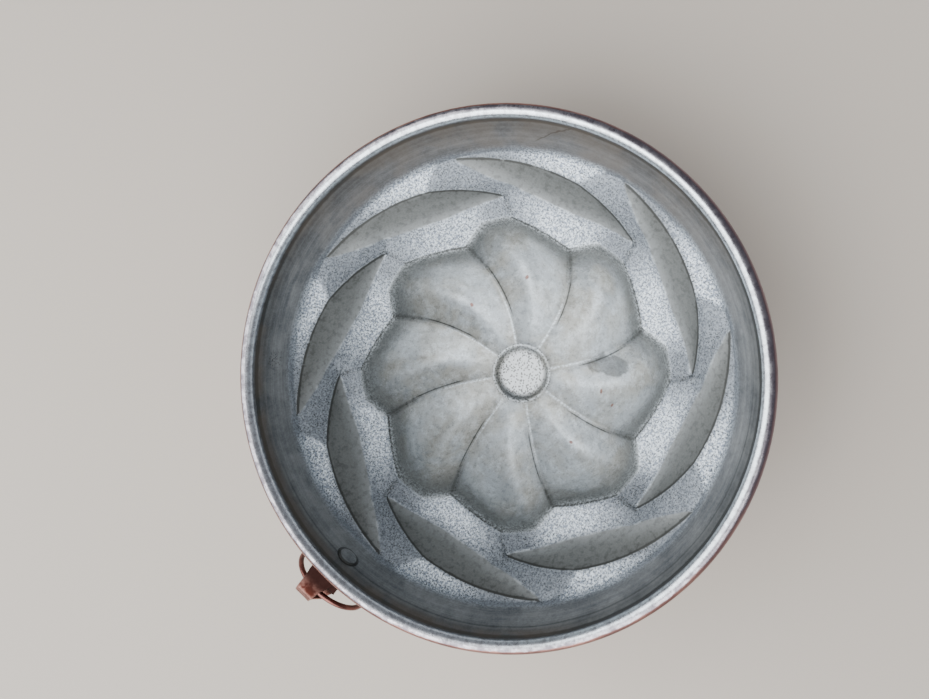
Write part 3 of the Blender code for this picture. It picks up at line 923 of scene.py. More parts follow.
@dataclass
class Shell:
    """A mesh held as arrays while it is shaped."""

    points: np.ndarray
    faces: list[tuple[int, ...]]
    marks: dict[str, np.ndarray]

    @classmethod
    def read(cls, mesh: Mesh) -> "Shell":
        """Take the points, faces and numbers of a mesh.

        Args:
            mesh: what is read.

        Returns:
            The shell.
        """
        points = np.empty(len(mesh.vertices) * 3)
        mesh.vertices.foreach_get("co", points)
        marks = {}
        for item in mesh.attributes:
            if item.domain == 'POINT' and item.data_type == 'FLOAT':
                marks[item.name] = np.empty(len(mesh.vertices))
                item.data.foreach_get("value", marks[item.name])
        return cls(points.reshape(-1, 3), [tuple(face.vertices) for face in mesh.polygons], marks)

    def write(self, name: str) -> Mesh:
        """A smooth-shaded mesh with this shell's points, faces and numbers.

        Args:
            name: of the mesh.

        Returns:
            The mesh.
        """
        mesh = bpy.data.meshes.new(name)
        mesh.from_pydata(self.points.tolist(), [], self.faces)
        for key, values in self.marks.items():
            mesh.attributes.new(key, 'FLOAT', 'POINT').data.foreach_set("value", values.astype(np.float32))
        mesh.validate()
        mesh.shade_smooth()
        return mesh

    def edges(self) -> np.ndarray:
        """Every edge once, as pairs of points."""
        pairs = {(min(a, b), max(a, b)) for face in self.faces for a, b in zip(face, face[1:] + face[:1])}
        return np.array(sorted(pairs))

    def border(self) -> list[tuple[int, int]]:
        """The edges that only one face has, each in that face's direction."""
        seen = {(a, b) for face in self.faces for a, b in zip(face, face[1:] + face[:1])}
        return sorted((a, b) for a, b in seen if (b, a) not in seen)

    def normals(self) -> np.ndarray:
        """The normal at each point, from the faces round it.

        Returns:
            One unit vector a point.
        """
        total = np.zeros_like(self.points)
        for size in {len(face) for face in self.faces}:
            faces = np.array([face for face in self.faces if len(face) == size])
            across = self.points[faces[:, 2]] - self.points[faces[:, 0]]
            other = self.points[faces[:, size - 1]] - self.points[faces[:, 1]]
            area = np.cross(across, other)
            for k in range(size):
                np.add.at(total, faces[:, k], area)
        return total / np.maximum(np.linalg.norm(total, axis=1), TINY)[:, None]

    def around(self, values: np.ndarray, edges: np.ndarray) -> np.ndarray:
        """The mean of a value over the neighbours of each point.

        Args:
            values: one number or row a point.
            edges: pairs of points.

        Returns:
            One mean a point.
        """
        count = np.bincount(edges.ravel(), minlength=len(self.points))
        total = np.zeros_like(values, dtype=float)
        np.add.at(total, edges[:, 0], values[edges[:, 1]])
        np.add.at(total, edges[:, 1], values[edges[:, 0]])
        shape = (-1,) + (1,) * (values.ndim - 1)
        return total / np.maximum(count, 1).reshape(shape)

    def smooth(self, values: np.ndarray, times: int, share: float = 0.5) -> np.ndarray:
        """A value evened out over the neighbours, some times over.

        Args:
            values: one number or row a point.
            times: how often.
            share: how far each time.

        Returns:
            The evened values.
        """
        edges = self.edges()
        for _ in range(times):
            values = blend(values, self.around(values, edges), share)
        return values

    def mark_folds(self, reach: float, times: int) -> None:
        """Write how far each point is on a crest or in a hollow, as numbers from 0 to 1.

        Args:
            reach: radius in metres of a fold that counts fully.
            times: how often the numbers are evened out.
        """
        edges = self.edges()
        step = np.linalg.norm(self.points[edges[:, 0]] - self.points[edges[:, 1]], axis=1)
        square = np.zeros(len(self.points))
        np.add.at(square, edges[:, 0], step ** 2)
        np.add.at(square, edges[:, 1], step ** 2)
        count = np.bincount(edges.ravel(), minlength=len(self.points))
        away = self.around(self.points, edges) - self.points
        bend = -2 * (away * self.normals()).sum(1) * count / np.maximum(square, TINY)
        bend = self.smooth(np.clip(bend * reach, -1, 1), times)
        self.marks["crest"] = np.clip(bend, 0, 1)
        self.marks["hollow"] = np.clip(-bend, 0, 1)

    def thicken(self, thickness: float, times: int, share: float = 0.4) -> "Shell":
        """A closed shell whose second side lies this far behind the first.

        Args:
            thickness: of the sheet, in metres.
            times: how often the second side is evened out.
            share: how far each time.

        Returns:
            The closed shell. Its "lining" is 0 on the second side, whose crests and hollows are swapped.
        """
        count = len(self.points)
        behind = self.smooth(self.points - self.normals() * thickness, times, share)
        faces = list(self.faces) + [tuple(k + count for k in reversed(face)) for face in self.faces]
        faces += [(b, a, a + count, b + count) for a, b in self.border()]
        marks = {key: np.concatenate([values, values]) for key, values in self.marks.items()}
        marks["crest"] = np.concatenate([self.marks["crest"], self.marks["hollow"]])
        marks["hollow"] = np.concatenate([self.marks["hollow"], self.marks["crest"]])
        marks["lining"] = np.concatenate([self.marks["lining"], np.zeros(count)])
        return Shell(np.concatenate([self.points, behind]), faces, marks)

    def roughen(self, depth: float, size: float, seed: int, hold: Optional[np.ndarray] = None) -> None:
        """Move the points in and out by soft noise, as beating by hand leaves them.

        Args:
            depth: the most that a point moves, in metres.
            size: the width of a dent, in metres.
            seed: what tells one noise from another.
            hold: how far each point may move, 0 to 1.
        """
        shift = Vector([seed * step for step in SEED_STEP])
        amount = np.array([noise.noise(Vector(p) / size + shift) for p in self.points]) * depth
        self.points += self.normals() * (amount if hold is None else amount * hold)[:, None]


@contextmanager
def opened(mesh: Mesh) -> Iterator[BMesh]:
    """Open a mesh to be edited, and write it back at the end.

    Args:
        mesh: what is edited.

    Yields:
        Its points and faces.
    """
    made = bmesh.new()
    made.from_mesh(mesh)
    yield made
    made.to_mesh(mesh)
    made.free()


def skin(made: BMesh, grid: Sequence[list[BMVert]], closed: bool = False) -> None:
    """Add the faces between rows of points.

    Args:
        made: the mesh.
        grid: the rows.
        closed: whether each row is a ring.
    """
    for low, high in zip(grid, grid[1:]):
        if closed:
            low, high = low + low[:1], high + high[:1]
        for corners in zip(low, low[1:], high[1:], high):
            made.faces.new(corners)


def linked(name: str, data: Any, place: Any = (0.0, 0.0, 0.0),
           turn: Optional[Quaternion] = None) -> Object:
    """A new object in the scene.

    Args:
        name: of the object.
        data: what it shows.
        place: where it stands.
        turn: how it is turned, or None.

    Returns:
        The object.
    """
    made = bpy.data.objects.new(name, data)
    bpy.context.scene.collection.objects.link(made)
    made.location = place
    if turn is not None:
        made.rotation_mode = 'QUATERNION'
        made.rotation_quaternion = turn
    return made


def add_piece(name: str, mesh: Mesh, material: Material) -> Object:
    """A new object at the origin that shows a mesh in one material.

    Args:
        name: of the object.
        mesh: what it shows.
        material: what it is made of.

    Returns:
        The object.
    """
    mesh.materials.clear()
    mesh.materials.append(material)
    return linked(name, mesh)


def dress(piece: Object, body: Body, slot: Slot, *nodes: str) -> Object:
    """Let a piece ride on its body in place of the plain solids, and report it.

    Args:
        piece: the object.
        body: what it moves with.
        slot: its material slot in the record. It is not used.
        nodes: the solids whose place it takes.

    Returns:
        The piece.
    """
    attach(piece, body.value)
    if nodes:
        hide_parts(*nodes)
    LOG.info("%s: %d faces on %s", piece.name, len(piece.data.polygons), body.value)
    return piece


class Geometry(Graph):
    """A geometry node tree with named inputs, which makes one plain mesh."""

    def __init__(self, name: str, inputs: dict[str, str]) -> None:
        """Start a tree.

        Args:
            name: of the tree.
            inputs: socket type by input name. "Geometry" and "Material" are always there.
        """
        super().__init__(bpy.data.node_groups.new(name, 'GeometryNodeTree'))
        face = self.tree.interface
        face.new_socket("Geometry", in_out='INPUT', socket_type='NodeSocketGeometry')
        for label, kind in {**inputs, "Material": 'NodeSocketMaterial'}.items():
            face.new_socket(label, in_out='INPUT', socket_type=kind)
        face.new_socket("Geometry", in_out='OUTPUT', socket_type='NodeSocketGeometry')
        self.given = self.node("NodeGroupInput").outputs

    def end(self, geometry: NodeSocket) -> None:
        """Realize what the tree made, give it its material and send it out.

        Args:
            geometry: the last node's output.
        """
        real = self.out("GeometryNodeRealizeInstances", inputs={0: geometry})
        dressed = self.out("GeometryNodeSetMaterial", inputs={"Geometry": real, "Material": self.given["Material"]})
        self.node("NodeGroupOutput", inputs={0: dressed})

    def run(self, name: str, mesh: Mesh, values: dict[str, Any]) -> Mesh:
        """The mesh that the tree makes of another.

        Args:
            name: of the new mesh.
            mesh: what goes in as Geometry.
            values: the named inputs.

        Returns:
            A plain mesh. The carrier object and its modifier are gone.
        """
        carrier = linked(name + "_carrier", mesh)
        modifier = carrier.modifiers.new(self.tree.name, 'NODES')
        modifier.node_group = self.tree
        for item in self.tree.interface.items_tree:
            if item.item_type == 'SOCKET' and item.in_out == 'INPUT' and item.name in values:
                modifier[item.identifier] = values[item.name]
        graph = bpy.context.evaluated_depsgraph_get()
        made = bpy.data.meshes.new_from_object(carrier.evaluated_get(graph), depsgraph=graph)
        made.name = name
        carrier.modifiers.clear()
        bpy.data.objects.remove(carrier, do_unlink=True)
        return made


class LobesRoundAxis(Geometry):
    """Repeats one lobe round the axis, joins the lobes and softens their creases."""

    def __init__(self) -> None:
        """Build the tree."""
        super().__init__("lobes_round_axis", {"Lobes": 'NodeSocketInt', "Join": 'NodeSocketFloat',
                                              "Softening": 'NodeSocketInt'})
        points = self.out("GeometryNodePoints", inputs={"Count": self.given["Lobes"]})
        pitch = self.out("ShaderNodeMath", {"operation": 'DIVIDE'}, {0: 2 * math.pi, 1: self.given["Lobes"]})
        angle = self.out("ShaderNodeMath", {"operation": 'MULTIPLY'},
                         {0: self.out("GeometryNodeInputIndex"), 1: pitch})
        turn = self.out("FunctionNodeEulerToRotation",
                        inputs={0: self.out("ShaderNodeCombineXYZ", inputs={2: angle})})
        placed = self.out("GeometryNodeInstanceOnPoints",
                          inputs={"Points": points, "Instance": self.given["Geometry"], "Rotation": turn})
        joined = self.out("GeometryNodeMergeByDistance",
                          inputs={"Geometry": self.out("GeometryNodeRealizeInstances", inputs={0: placed}),
                                  "Distance": self.given["Join"]})
        soft = self.node("GeometryNodeInputNamedAttribute", {"data_type": 'FLOAT'}, {"Name": "soften"})
        even = self.node("GeometryNodeBlurAttribute", {"data_type": 'FLOAT_VECTOR'},
                         {"Iterations": self.given["Softening"], "Weight": soft.outputs["Attribute"]})
        self.feed(next(s for s in even.inputs if s.type == 'VECTOR'), self.out("GeometryNodeInputPosition"))
        evened = next(s for s in even.outputs if s.type == 'VECTOR')
        self.end(self.out("GeometryNodeSetPosition", inputs={"Geometry": joined, "Position": evened}))


class WireRound(Geometry):
    """A ring of round wire in the plane across X, hanging from the point given."""

    def __init__(self) -> None:
        """Build the tree."""
        super().__init__("wire_round", {"Radius": 'NodeSocketFloat', "Wire": 'NodeSocketFloat',
                                        "Steps": 'NodeSocketInt', "Sides": 'NodeSocketInt',
                                        "Hung from": 'NodeSocketVector'})
        path, section = (self.out("GeometryNodeCurvePrimitiveCircle", {"mode": 'RADIUS'},
                                  {"Resolution": self.given[steps], "Radius": self.given[radius]})
                         for steps, radius in (("Steps", "Radius"), ("Sides", "Wire")))
        swept = self.out("GeometryNodeCurveToMesh", inputs={"Curve": path, "Profile Curve": section})
        drop = self.out("ShaderNodeMath", {"operation": 'MULTIPLY'}, {0: self.given["Radius"], 1: -1.0})
        middle = self.out("ShaderNodeVectorMath", {"operation": 'ADD'},
                          {0: self.given["Hung from"], 1: self.out("ShaderNodeCombineXYZ", inputs={2: drop})})
        self.end(self.out("GeometryNodeTransform",
                          inputs={"Geometry": swept, "Translation": middle,
                                  "Rotation": (0.0, math.radians(90), 0.0)}))


class LobeMesh:
    """One lobe of the sheet while its patches are put together."""

    def __init__(self, made: BMesh) -> None:
        """Take an empty mesh and give its points their numbers: the zones, the tin and the softening.

        Args:
            made: the mesh.
        """
        self.made = made
        names = [zone.value for zone in Zone] + ["lining", "soften"]
        self.layers = {name: made.verts.layers.float.new(name) for name in names}

    def patch(self, rows: list[list[Point]], zones: Sequence[dict[Zone, float]],
              tin: Optional[Sequence[float]] = None, soft: float = 1.0) -> None:
        """Add a grid of points.

        Args:
            rows: the points, in the mould's frame.
            zones: the share of each zone, by row.
            tin: how far each row is tinned, or None for all over.
            soft: how far its creases are softened.
        """
        grid = []
        for row, shares, tinned in zip(rows, zones, tin or [1.0] * len(rows)):
            verts = [self.made.verts.new(point) for point in row]
            numbers = {zone.value: share for zone, share in shares.items()}
            for name, number in {**numbers, "lining": tinned, "soften": soft}.items():
                for vert in verts:
                    vert[self.layers[name]] = number
            grid.append(verts)
        skin(self.made, grid)


@dataclass
class PressedBody:
    """The sheet with its swirl relief, wall and rolled bead, tinned inside."""

    sheet: TinnedSheet
    lobes: int = 8
    pattern_angle: float = 13.8
    rim_radius: float = 0.1000
    height: float = 0.0760
    thickness: float = 0.0009
    bead_radius: float = 0.0025
    bead_ends: Pair = (205.0, -105.0)
    tin_ends: Pair = (20.0, 95.0)
    groove: Pair = (0.00045, 0.0010)
    wall_step: float = 0.00025
    wall_depth: float = 0.0235
    wall_lean: float = 0.00645
    # Marks of the relief: turn in pitches, how far inside the wall's foot, and how far below it.
    strip_start: Point = (0.067, 0.0003, 0.0000)
    crescent_start: Point = (0.176, 0.0000, 0.0000)
    tooth_tip: Point = (-0.056, 0.0077, 0.0040)
    crescent_end: Point = (0.427, 0.0144, 0.0145)
    petal_shoulder: Point = (0.470, 0.0231, 0.0188)
    petal_tip: Point = (0.200, 0.0236, 0.0212)
    notch: Point = (0.000, 0.0308, 0.0233)
    scoop_fold: tuple[Point, ...] = (
        (0.222, 0.0025, 0.0020), (0.356, 0.0093, 0.0075), (0.511, 0.0120, 0.0120), (0.711, 0.0154, 0.0165),
        (0.933, 0.0171, 0.0193), (1.067, 0.0171, 0.0198), (1.200, 0.0163, 0.0188), (1.333, 0.0153, 0.0165))
    # The scoops: evening in pitches, bulge in metres, and otherwise shares of the way from mark to mark.
    fold_evening: float = 0.07
    fold_samples: int = 5
    diagonal_bulge: float = 0.0006
    fold_rounding: float = 0.10
    fold_lean: Pair = (0.72, 0.45)
    fold_lean_points: int = 5
    scoop_fade: Pair = (0.38, 0.62)
    # The lands and petals: twist in pitches, drop in metres, and otherwise powers of the share of the way.
    tooth_hollow: float = 1.5
    seam_twist: float = 0.218
    seam_curve: float = 2.0
    seam_rise: float = 2.0
    valley_rise: float = 3.5
    valley_rounding: float = 1.2
    valley_drop: float = 0.0007
    # The boss in metres, how far it is softened, and where its ridge's side has rows.
    boss_radius: float = 0.0108
    boss_ridge: float = 0.0016
    boss_depth: float = 0.0027
    boss_softening: float = 0.6
    boss_stops: Pair = (0.33, 0.66)
    # How finely the patches are divided.
    fine: int = 5
    petal_rows: int = 7
    fold_rows: int = 8
    wall_rows: int = 12
    bead_rows: int = 20
    floor_rows: int = 6
    softening: int = 1
    join: float = 1e-6
    # Fades of the marks that the finish reads. Fade and end are turns in pitches, share and dim are from 0 to 1,
    # and the others are in metres.
    line_reach: float = 0.024
    strip_fade: Pair = (0.44, 0.82)
    strip_share: float = 0.95
    strip_edge: Pair = (-0.0022, 0.0005)
    strip_foot: Pair = (-0.0002, 0.0004)
    last_reach: Pair = (0.008, 0.022)
    last_edge: Pair = (-0.0003, 0.0006)
    last_top: Pair = (-0.0002, 0.0010)
    last_foot: Pair = (0.003, 0.001)
    tooth_fade: Pair = (0.22, 0.60)
    tooth_end: Pair = (0.95, 1.02)
    tooth_edge: Pair = (0.0002, -0.0006)
    tooth_dim: float = 0.6
    wall_blend: float = 0.0030
    land_share: float = 0.92
    # Depth and width of the dents, and the radius of a fold that counts fully as a crest or a hollow.
    dent: Pair = (0.00016, 0.011)
    ripple: Pair = (0.00006, 0.0035)
    fold_radius: float = 0.0016

    def __post_init__(self) -> None:
        """Work out the pitch, and the wall's top and foot as radius and height."""
        self.pitch = 2 * math.pi / self.lobes
        self.wall_top = (self.rim_radius - 2 * self.bead_radius - self.wall_step,
                         self.height - 2 * self.bead_radius - self.groove[1])
        self.wall_foot = (self.wall_top[0] - self.wall_lean, self.height - self.wall_depth)

    def mark(self, values: Point, pitches: int = 0) -> np.ndarray:
        """A mark of the relief as turn, radius and height, moved on by whole pitches."""
        turn, inset, drop = values
        return np.array((turn + pitches, self.wall_foot[0] - inset, self.wall_foot[1] - drop))

    def chain(self, start: Point, *stops: tuple[Point, int, int, float]) -> list[np.ndarray]:
        """Points along a line through marks.

        Args:
            start: the first mark.
            stops: the further marks, each with its whole pitches, its coarse steps and the line's bow inwards.

        Returns:
            The points, with the fine steps put in.
        """
        points = [self.mark(start)]
        for values, pitches, steps, bulge in stops:
            begin, target = points[-1], self.mark(values, pitches)
            for step in range(1, steps * self.fine + 1):
                share = step / (steps * self.fine)
                point = blend(begin, target, share)
                point[1] -= bulge * 4 * share * (1 - share)
                points.append(point)
        return points

    def fold_at(self, turn: float) -> np.ndarray:
        """The foot of the crescent face at a turn, on a line evened out through its marks.

        Args:
            turn: in pitches.

        Returns:
            Turn, radius and height.
        """
        line = np.array([self.mark(self.crescent_start)] + [self.mark(values) for values in self.scoop_fold]
                        + [self.mark(self.crescent_end, 1)])
        room = min(self.fold_evening, turn - line[0, 0], line[-1, 0] - turn)
        turns = turn + np.linspace(-room, room, self.fold_samples)
        return np.array([np.interp(turns, line[:, 0], line[:, axis]).mean() for axis in range(3)])

    def soft_corner(self, share: float) -> tuple[float, float, float]:
        """Weights of the start, the corner and the end of a two-leg line whose corner is rounded.

        Args:
            share: how far along the line, 0 to 1.

        Returns:
            The three weights.
        """
        low = math.sqrt(0.25 + self.fold_rounding ** 2) - 0.5
        end = share - 0.5 + math.hypot(share - 0.5, self.fold_rounding) - low
        start = 0.5 - share + math.hypot(0.5 - share, self.fold_rounding) - low
        return start, 1 - start - end, end

    def scoop(self) -> tuple[Rows, list[np.ndarray]]:
        """Rows of points over one scoop, from its inner edge to the ridge over it, and that ridge.

        Returns:
            The rows, and the ridge.
        """
        inner = self.chain(self.crescent_start, (self.strip_start, 0, 1, 0.0), (self.tooth_tip, 0, 2, 0.0),
                           (self.crescent_end, 0, 3, 0.0), (self.petal_shoulder, 0, 1, 0.0),
                           (self.notch, 1, 3, self.diagonal_bulge), (self.petal_tip, 1, 2, 0.0),
                           (self.petal_shoulder, 1, 1, 0.0), (self.crescent_end, 1, 1, 0.0))
        coarse = (len(inner) - 1) // self.fine - 3
        ridge = self.chain(self.crescent_start, (self.tooth_tip, 1, coarse, 0.0), (self.crescent_end, 1, 3, 0.0))
        start, end = self.mark(self.crescent_start)[0], self.mark(self.crescent_end, 1)[0]
        fold = []
        for k, (low, high) in enumerate(zip(inner, ridge)):
            lean = blend(*self.fold_lean, min(1.0, k / (self.fine * self.fold_lean_points)))
            fold.append(self.fold_at(min(max(blend(low[0], high[0], lean), start), end)))
        rows = []
        for step in range(2 * self.fold_rows + 1):
            weights = self.soft_corner(step / (2 * self.fold_rows))
            rows.append([sum(w * p for w, p in zip(weights, points)) for points in zip(inner, fold, ridge)])
        return rows, ridge

    def tooth(self, ridge: list[np.ndarray]) -> Rows:
        """Rows over the short land above a crescent, from its ridge up to the foot of the wall.

        Args:
            ridge: the crescent's outer edge.

        Returns:
            The rows.
        """
        steps = len(ridge) - 1 - 3 * self.fine
        foot = self.chain(self.crescent_start, (self.strip_start, 1, steps // self.fine, 0.0))
        rows = []
        for step in range(2 * self.fine + 1):
            share = step / (2 * self.fine)
            row = []
            for k, (low, high) in enumerate(zip(ridge, foot)):
                point = blend(low, high, share)
                if k < steps:
                    point[2] -= (high[2] - low[2]) * (share - share ** self.tooth_hollow)
                row.append(point)
            rows.append(row)
        return rows

    def petal(self) -> Rows:
        """Rows over one petal trough, from the boss out to its edge.

        Returns:
            The rows.
        """
        rim = self.chain(self.notch, (self.petal_tip, 0, 2, 0.0), (self.petal_shoulder, 0, 1, 0.0),
                         (self.notch, 1, 3, self.diagonal_bulge))
        side, last = 2 * self.fine, len(rim) - 1
        foot = np.array((0.0, self.boss_radius + 2 * self.boss_ridge, self.thickness + self.boss_depth))
        rows = []
        for share in np.arange(self.petal_rows * self.fine + 1) / (self.petal_rows * self.fine):
            row = []
            for k, end in enumerate(rim):
                near = k <= side
                way = k / side if near else (last - k) / (last - side)
                low = 1 - (1 - way) ** self.valley_rounding
                start = foot + (self.seam_twist + (0.5 * way if near else 1 - 0.5 * way), 0.0,
                                -self.valley_drop * low)
                climb = blend(share ** self.seam_rise, share ** self.valley_rise, low)
                row.append(np.array((blend(start[0], end[0], share ** self.seam_curve),
                                     blend(start[1], end[1], share), blend(start[2], end[2], climb))))
            rows.append(row)
        return rows

    def boss(self, edge: list[np.ndarray]) -> Rows:
        """Rows from a petal's inner edge over the boss's ridge and down to the middle of its floor.

        Args:
            edge: the petal's inner edge.

        Returns:
            The rows.
        """
        ridge = (self.boss_radius + self.boss_ridge, self.thickness + self.boss_depth)
        corner = (self.boss_radius, self.thickness)
        stops = [ridge] + [blend(np.array(ridge), np.array(corner), s) for s in self.boss_stops] + [corner]
        rows = [edge, [blend(p, np.array((p[0], *ridge)), 0.5) for p in edge]]
        rows += [[np.array((p[0], *stop)) for p in edge] for stop in stops]
        for step in range(1, self.floor_rows + 1):
            radius = self.boss_radius * (1 - step / self.floor_rows)
            rows.append([np.array((p[0], radius, self.thickness)) for p in edge])
        return rows

    def wall(self, foot: list[np.ndarray]) -> tuple[Rows, Rows, list[float]]:
        """Rows up the wall, rows over the bead, and how much tin each bead row has.

        Args:
            foot: the wall's foot.

        Returns:
            The wall's rows, the bead's rows and their tin.
        """
        top = np.array(self.wall_top)
        rows = [foot]
        for step in range(1, self.wall_rows + 1):
            rows.append([np.array((p[0], *blend(p[1:], top, step / self.wall_rows))) for p in foot])
        middle = np.array((self.rim_radius - self.bead_radius, self.height - self.bead_radius))
        profile = [top, top + self.groove]
        tin = [1.0, 1.0]
        for step in range(self.bead_rows + 1):
            degrees = blend(*self.bead_ends, step / self.bead_rows)
            angle = math.radians(degrees)
            profile.append(middle + self.bead_radius * np.array((math.cos(angle), math.sin(angle))))
            tin.append(float(ease(*self.tin_ends, degrees)))
        return rows, [[np.array((p[0], *ring)) for p in foot] for ring in profile], tin

    def put(self, point: np.ndarray) -> Point:
        """A point given as turn, radius and height, in the mould's frame."""
        angle = math.radians(self.pattern_angle) - point[0] * self.pitch
        return point[1] * math.cos(angle), point[1] * math.sin(angle), point[2]

    def lines(self) -> dict[Line, list[np.ndarray]]:
        """The lines of the relief over one lobe, as closely set points.

        Returns:
            The points by line.
        """
        petal = self.petal()
        rows, ridge = self.scoop()
        side = 2 * self.fine
        return {Line.SEAM: [row[0] for row in petal],
                Line.CREASE: [row[side] for row in petal],
                Line.OUTLINE: petal[-1][side + self.fine:],
                Line.LIP: petal[-1][:side + self.fine + 1],
                Line.RIDGE: ridge,
                Line.FOLD: rows[self.fold_rows],
                Line.CORNER: self.chain(self.crescent_end, (self.petal_shoulder, 0, 2, 0.0))}

    def mark_lines(self, shell: Shell) -> None:
        """Write on a shell how far each point lies from the lines of the relief, up to a limit.

        Args:
            shell: gets one mark a line, in metres.
        """
        for line, points in self.lines().items():
            fine = [blend(a, b, share) for a, b in zip(points, points[1:]) for share in (0.0, 0.25, 0.5, 0.75)]
            places = [self.put(point + (lobe, 0, 0)) for lobe in range(self.lobes) for point in fine]
            tree = KDTree(len(places))
            for k, place in enumerate(places):
                tree.insert(place, k)
            tree.balance()
            off = np.array([tree.find(point)[2] for point in shell.points])
            shell.marks[line.value] = np.minimum(off, self.line_reach)

    def polar(self, shell: Shell) -> tuple[np.ndarray, np.ndarray]:
        """Each point's radius, and its turn in pitches."""
        x, y = shell.points[:, 0], shell.points[:, 1]
        return np.hypot(x, y), (math.radians(self.pattern_angle) - np.arctan2(y, x)) / self.pitch

    def scoop_edges(self) -> tuple[np.ndarray, np.ndarray]:
        """The ridge over a crescent and the fold below it, both in the order of their turn."""
        rows, ridge = self.scoop()
        return np.array(ridge), np.array(sorted(rows[self.fold_rows], key=lambda point: point[0]))

    def mark_scoops(self, shell: Shell) -> None:
        """Write on a shell how far inside a crescent or petal each point lies, and dim the lands' narrow ends.

        Args:
            shell: gets "into_crescent" and "into_petal" in metres, negative outside.
        """
        radius, turn = self.polar(shell)
        high, low = self.scoop_edges()
        into = np.full(len(radius), -self.line_reach)
        for t in (turn % 1.0, turn % 1.0 + 1):
            beyond = np.maximum(np.maximum(high[0, 0] - t, t - high[-1, 0]), 0) * radius * self.pitch
            above = np.interp(t, high[:, 0], high[:, 1]) - radius
            over = radius - np.interp(t, low[:, 0], low[:, 1])
            into = np.maximum(into, np.minimum(above, over) - beyond)
            ended = ease(*self.tooth_end, t - self.mark(self.strip_start)[0])
            bright = ease(*self.tooth_fade, t) * (1 - ended) + ended
            dim = (1 - bright) * ease(*self.tooth_edge, above) * (beyond == 0)
            shell.marks["land"] = shell.marks["land"] * (1 - dim * self.tooth_dim)
        shell.marks["into_crescent"] = into
        rim = np.array(self.petal()[-1])
        shell.marks["into_petal"] = np.interp(turn % 1.0, rim[:, 0], rim[:, 1]) - radius

    def mark_facets(self, shell: Shell) -> None:
        """Write on a shell how far each point of a land lies on one of its turned facets, which the finish paints
        darker as shade.

        Args:
            shell: gets "facet" from 0 to 1.
        """
        radius, turn = self.polar(shell)
        high, low = self.scoop_edges()
        tip, kink, shoulder, end = (self.mark(values) for values in (self.tooth_tip, self.strip_start,
                                                                     self.petal_shoulder, self.crescent_end))
        foot = np.concatenate([high, [self.mark(self.petal_shoulder, 1), self.mark(self.notch, 2)]])
        facet = np.zeros(len(radius))
        for t in (turn % 1.0, turn % 1.0 - 1):
            past = (t - np.interp(radius, [tip[1], kink[1]], [tip[0], kink[0]])) * radius * self.pitch
            over = radius - np.interp(t + 1, foot[:, 0], foot[:, 1])
            strip = ease(*self.strip_edge, past) * ease(*self.strip_foot, over) * (1 - ease(*self.strip_fade, t))
            before = (np.interp(radius, [shoulder[1], end[1]], [shoulder[0], end[0]]) - t) * radius * self.pitch
            under = np.interp(t + 1, low[:, 0], low[:, 1]) - radius
            last = ease(*self.last_edge, before) * (1 - ease(*self.last_reach, before))
            last *= ease(*self.last_top, under)
            last *= ease(*(shoulder[1] - drop for drop in self.last_foot), radius)
            facet = np.maximum(facet, np.maximum(strip * self.strip_share, last))
        shell.marks["facet"] = facet

    def mark_side(self, shell: Shell) -> None:
        """Write on a shell which side of the nearest seam each point lies, 1 clockwise and -1 the other way.

        Args:
            shell: gets "seam_side".
        """
        foot, end = self.boss_radius + 2 * self.boss_ridge, self.mark(self.notch)[1]
        radius, turn = self.polar(shell)
        way = np.clip((radius - foot) / (end - foot), 0, 1)
        shell.marks["seam_side"] = np.sin((turn - self.seam_twist * (1 - way ** self.seam_curve)) * 2 * math.pi)

    def one_lobe(self) -> Mesh:
        """The open sheet over one pitch, with its zones written on its points.

        Returns:
            The mesh.
        """
        mesh = bpy.data.meshes.new("one_lobe")
        with opened(mesh) as made:
            lobe = LobeMesh(made)
            scoop, ridge = self.scoop()
            lands = 1 - ease(*self.scoop_fade, np.linspace(0, 1, len(scoop)))
            tooth = self.tooth(ridge)
            foot = self.chain(self.strip_start, (self.crescent_start, 0, 1, 0.0))[:-1] + tooth[-1]
            wall, bead, tin = self.wall(foot)
            petal = self.petal()
            boss = self.boss(petal[0])
            for rows, zones, *rest in (
                    (scoop, [{Zone.LAND: land * self.land_share} for land in lands]),
                    (tooth, [{Zone.LAND: 1.0}] * len(tooth)),
                    (wall, [{Zone.WALL: 1.0}] * len(wall)),
                    (bead, [{Zone.WALL: 1.0}] * 2 + [{Zone.BEAD: 1.0}] * (len(bead) - 2), tin, 0.0),
                    (petal, [{}] * len(petal)),
                    (boss, [{}] + [{Zone.BOSS: 1.0}] * (len(boss) - 1), None, self.boss_softening)):
                lobe.patch([[self.put(point) for point in row] for row in rows], zones, *rest)
            bmesh.ops.remove_doubles(made, verts=made.verts, dist=self.join)
            bmesh.ops.dissolve_degenerate(made, edges=made.edges, dist=self.join / 10)
        return mesh

    def build(self) -> Object:
        """Repeat the lobe, give the sheet its dents and thickness, and dress it.

        Returns:
            The piece.
        """
        material = self.sheet.make()
        mesh = LobesRoundAxis().run("pressed_sheet", self.one_lobe(),
                                    {"Lobes": self.lobes, "Join": 2 * self.join, "Softening": self.softening,
                                     "Material": material})
        with opened(mesh) as sheet:
            bmesh.ops.recalc_face_normals(sheet, faces=sheet.faces)
            middle = min(sheet.faces, key=lambda face: face.calc_center_median().xy.length)
            if middle.normal.z < 0:
                bmesh.ops.reverse_faces(sheet, faces=sheet.faces)
        # The boss and the bead keep their round shape, the rest is beaten unevenly.
        shell = Shell.read(mesh)
        free = ease(self.boss_radius, self.boss_radius * 2, self.polar(shell)[0]) * (1 - shell.marks["bead"])
        shell.roughen(*self.dent, seed=1, hold=free)
        shell.roughen(*self.ripple, seed=2, hold=free)
        shell.mark_folds(self.fold_radius, 1)
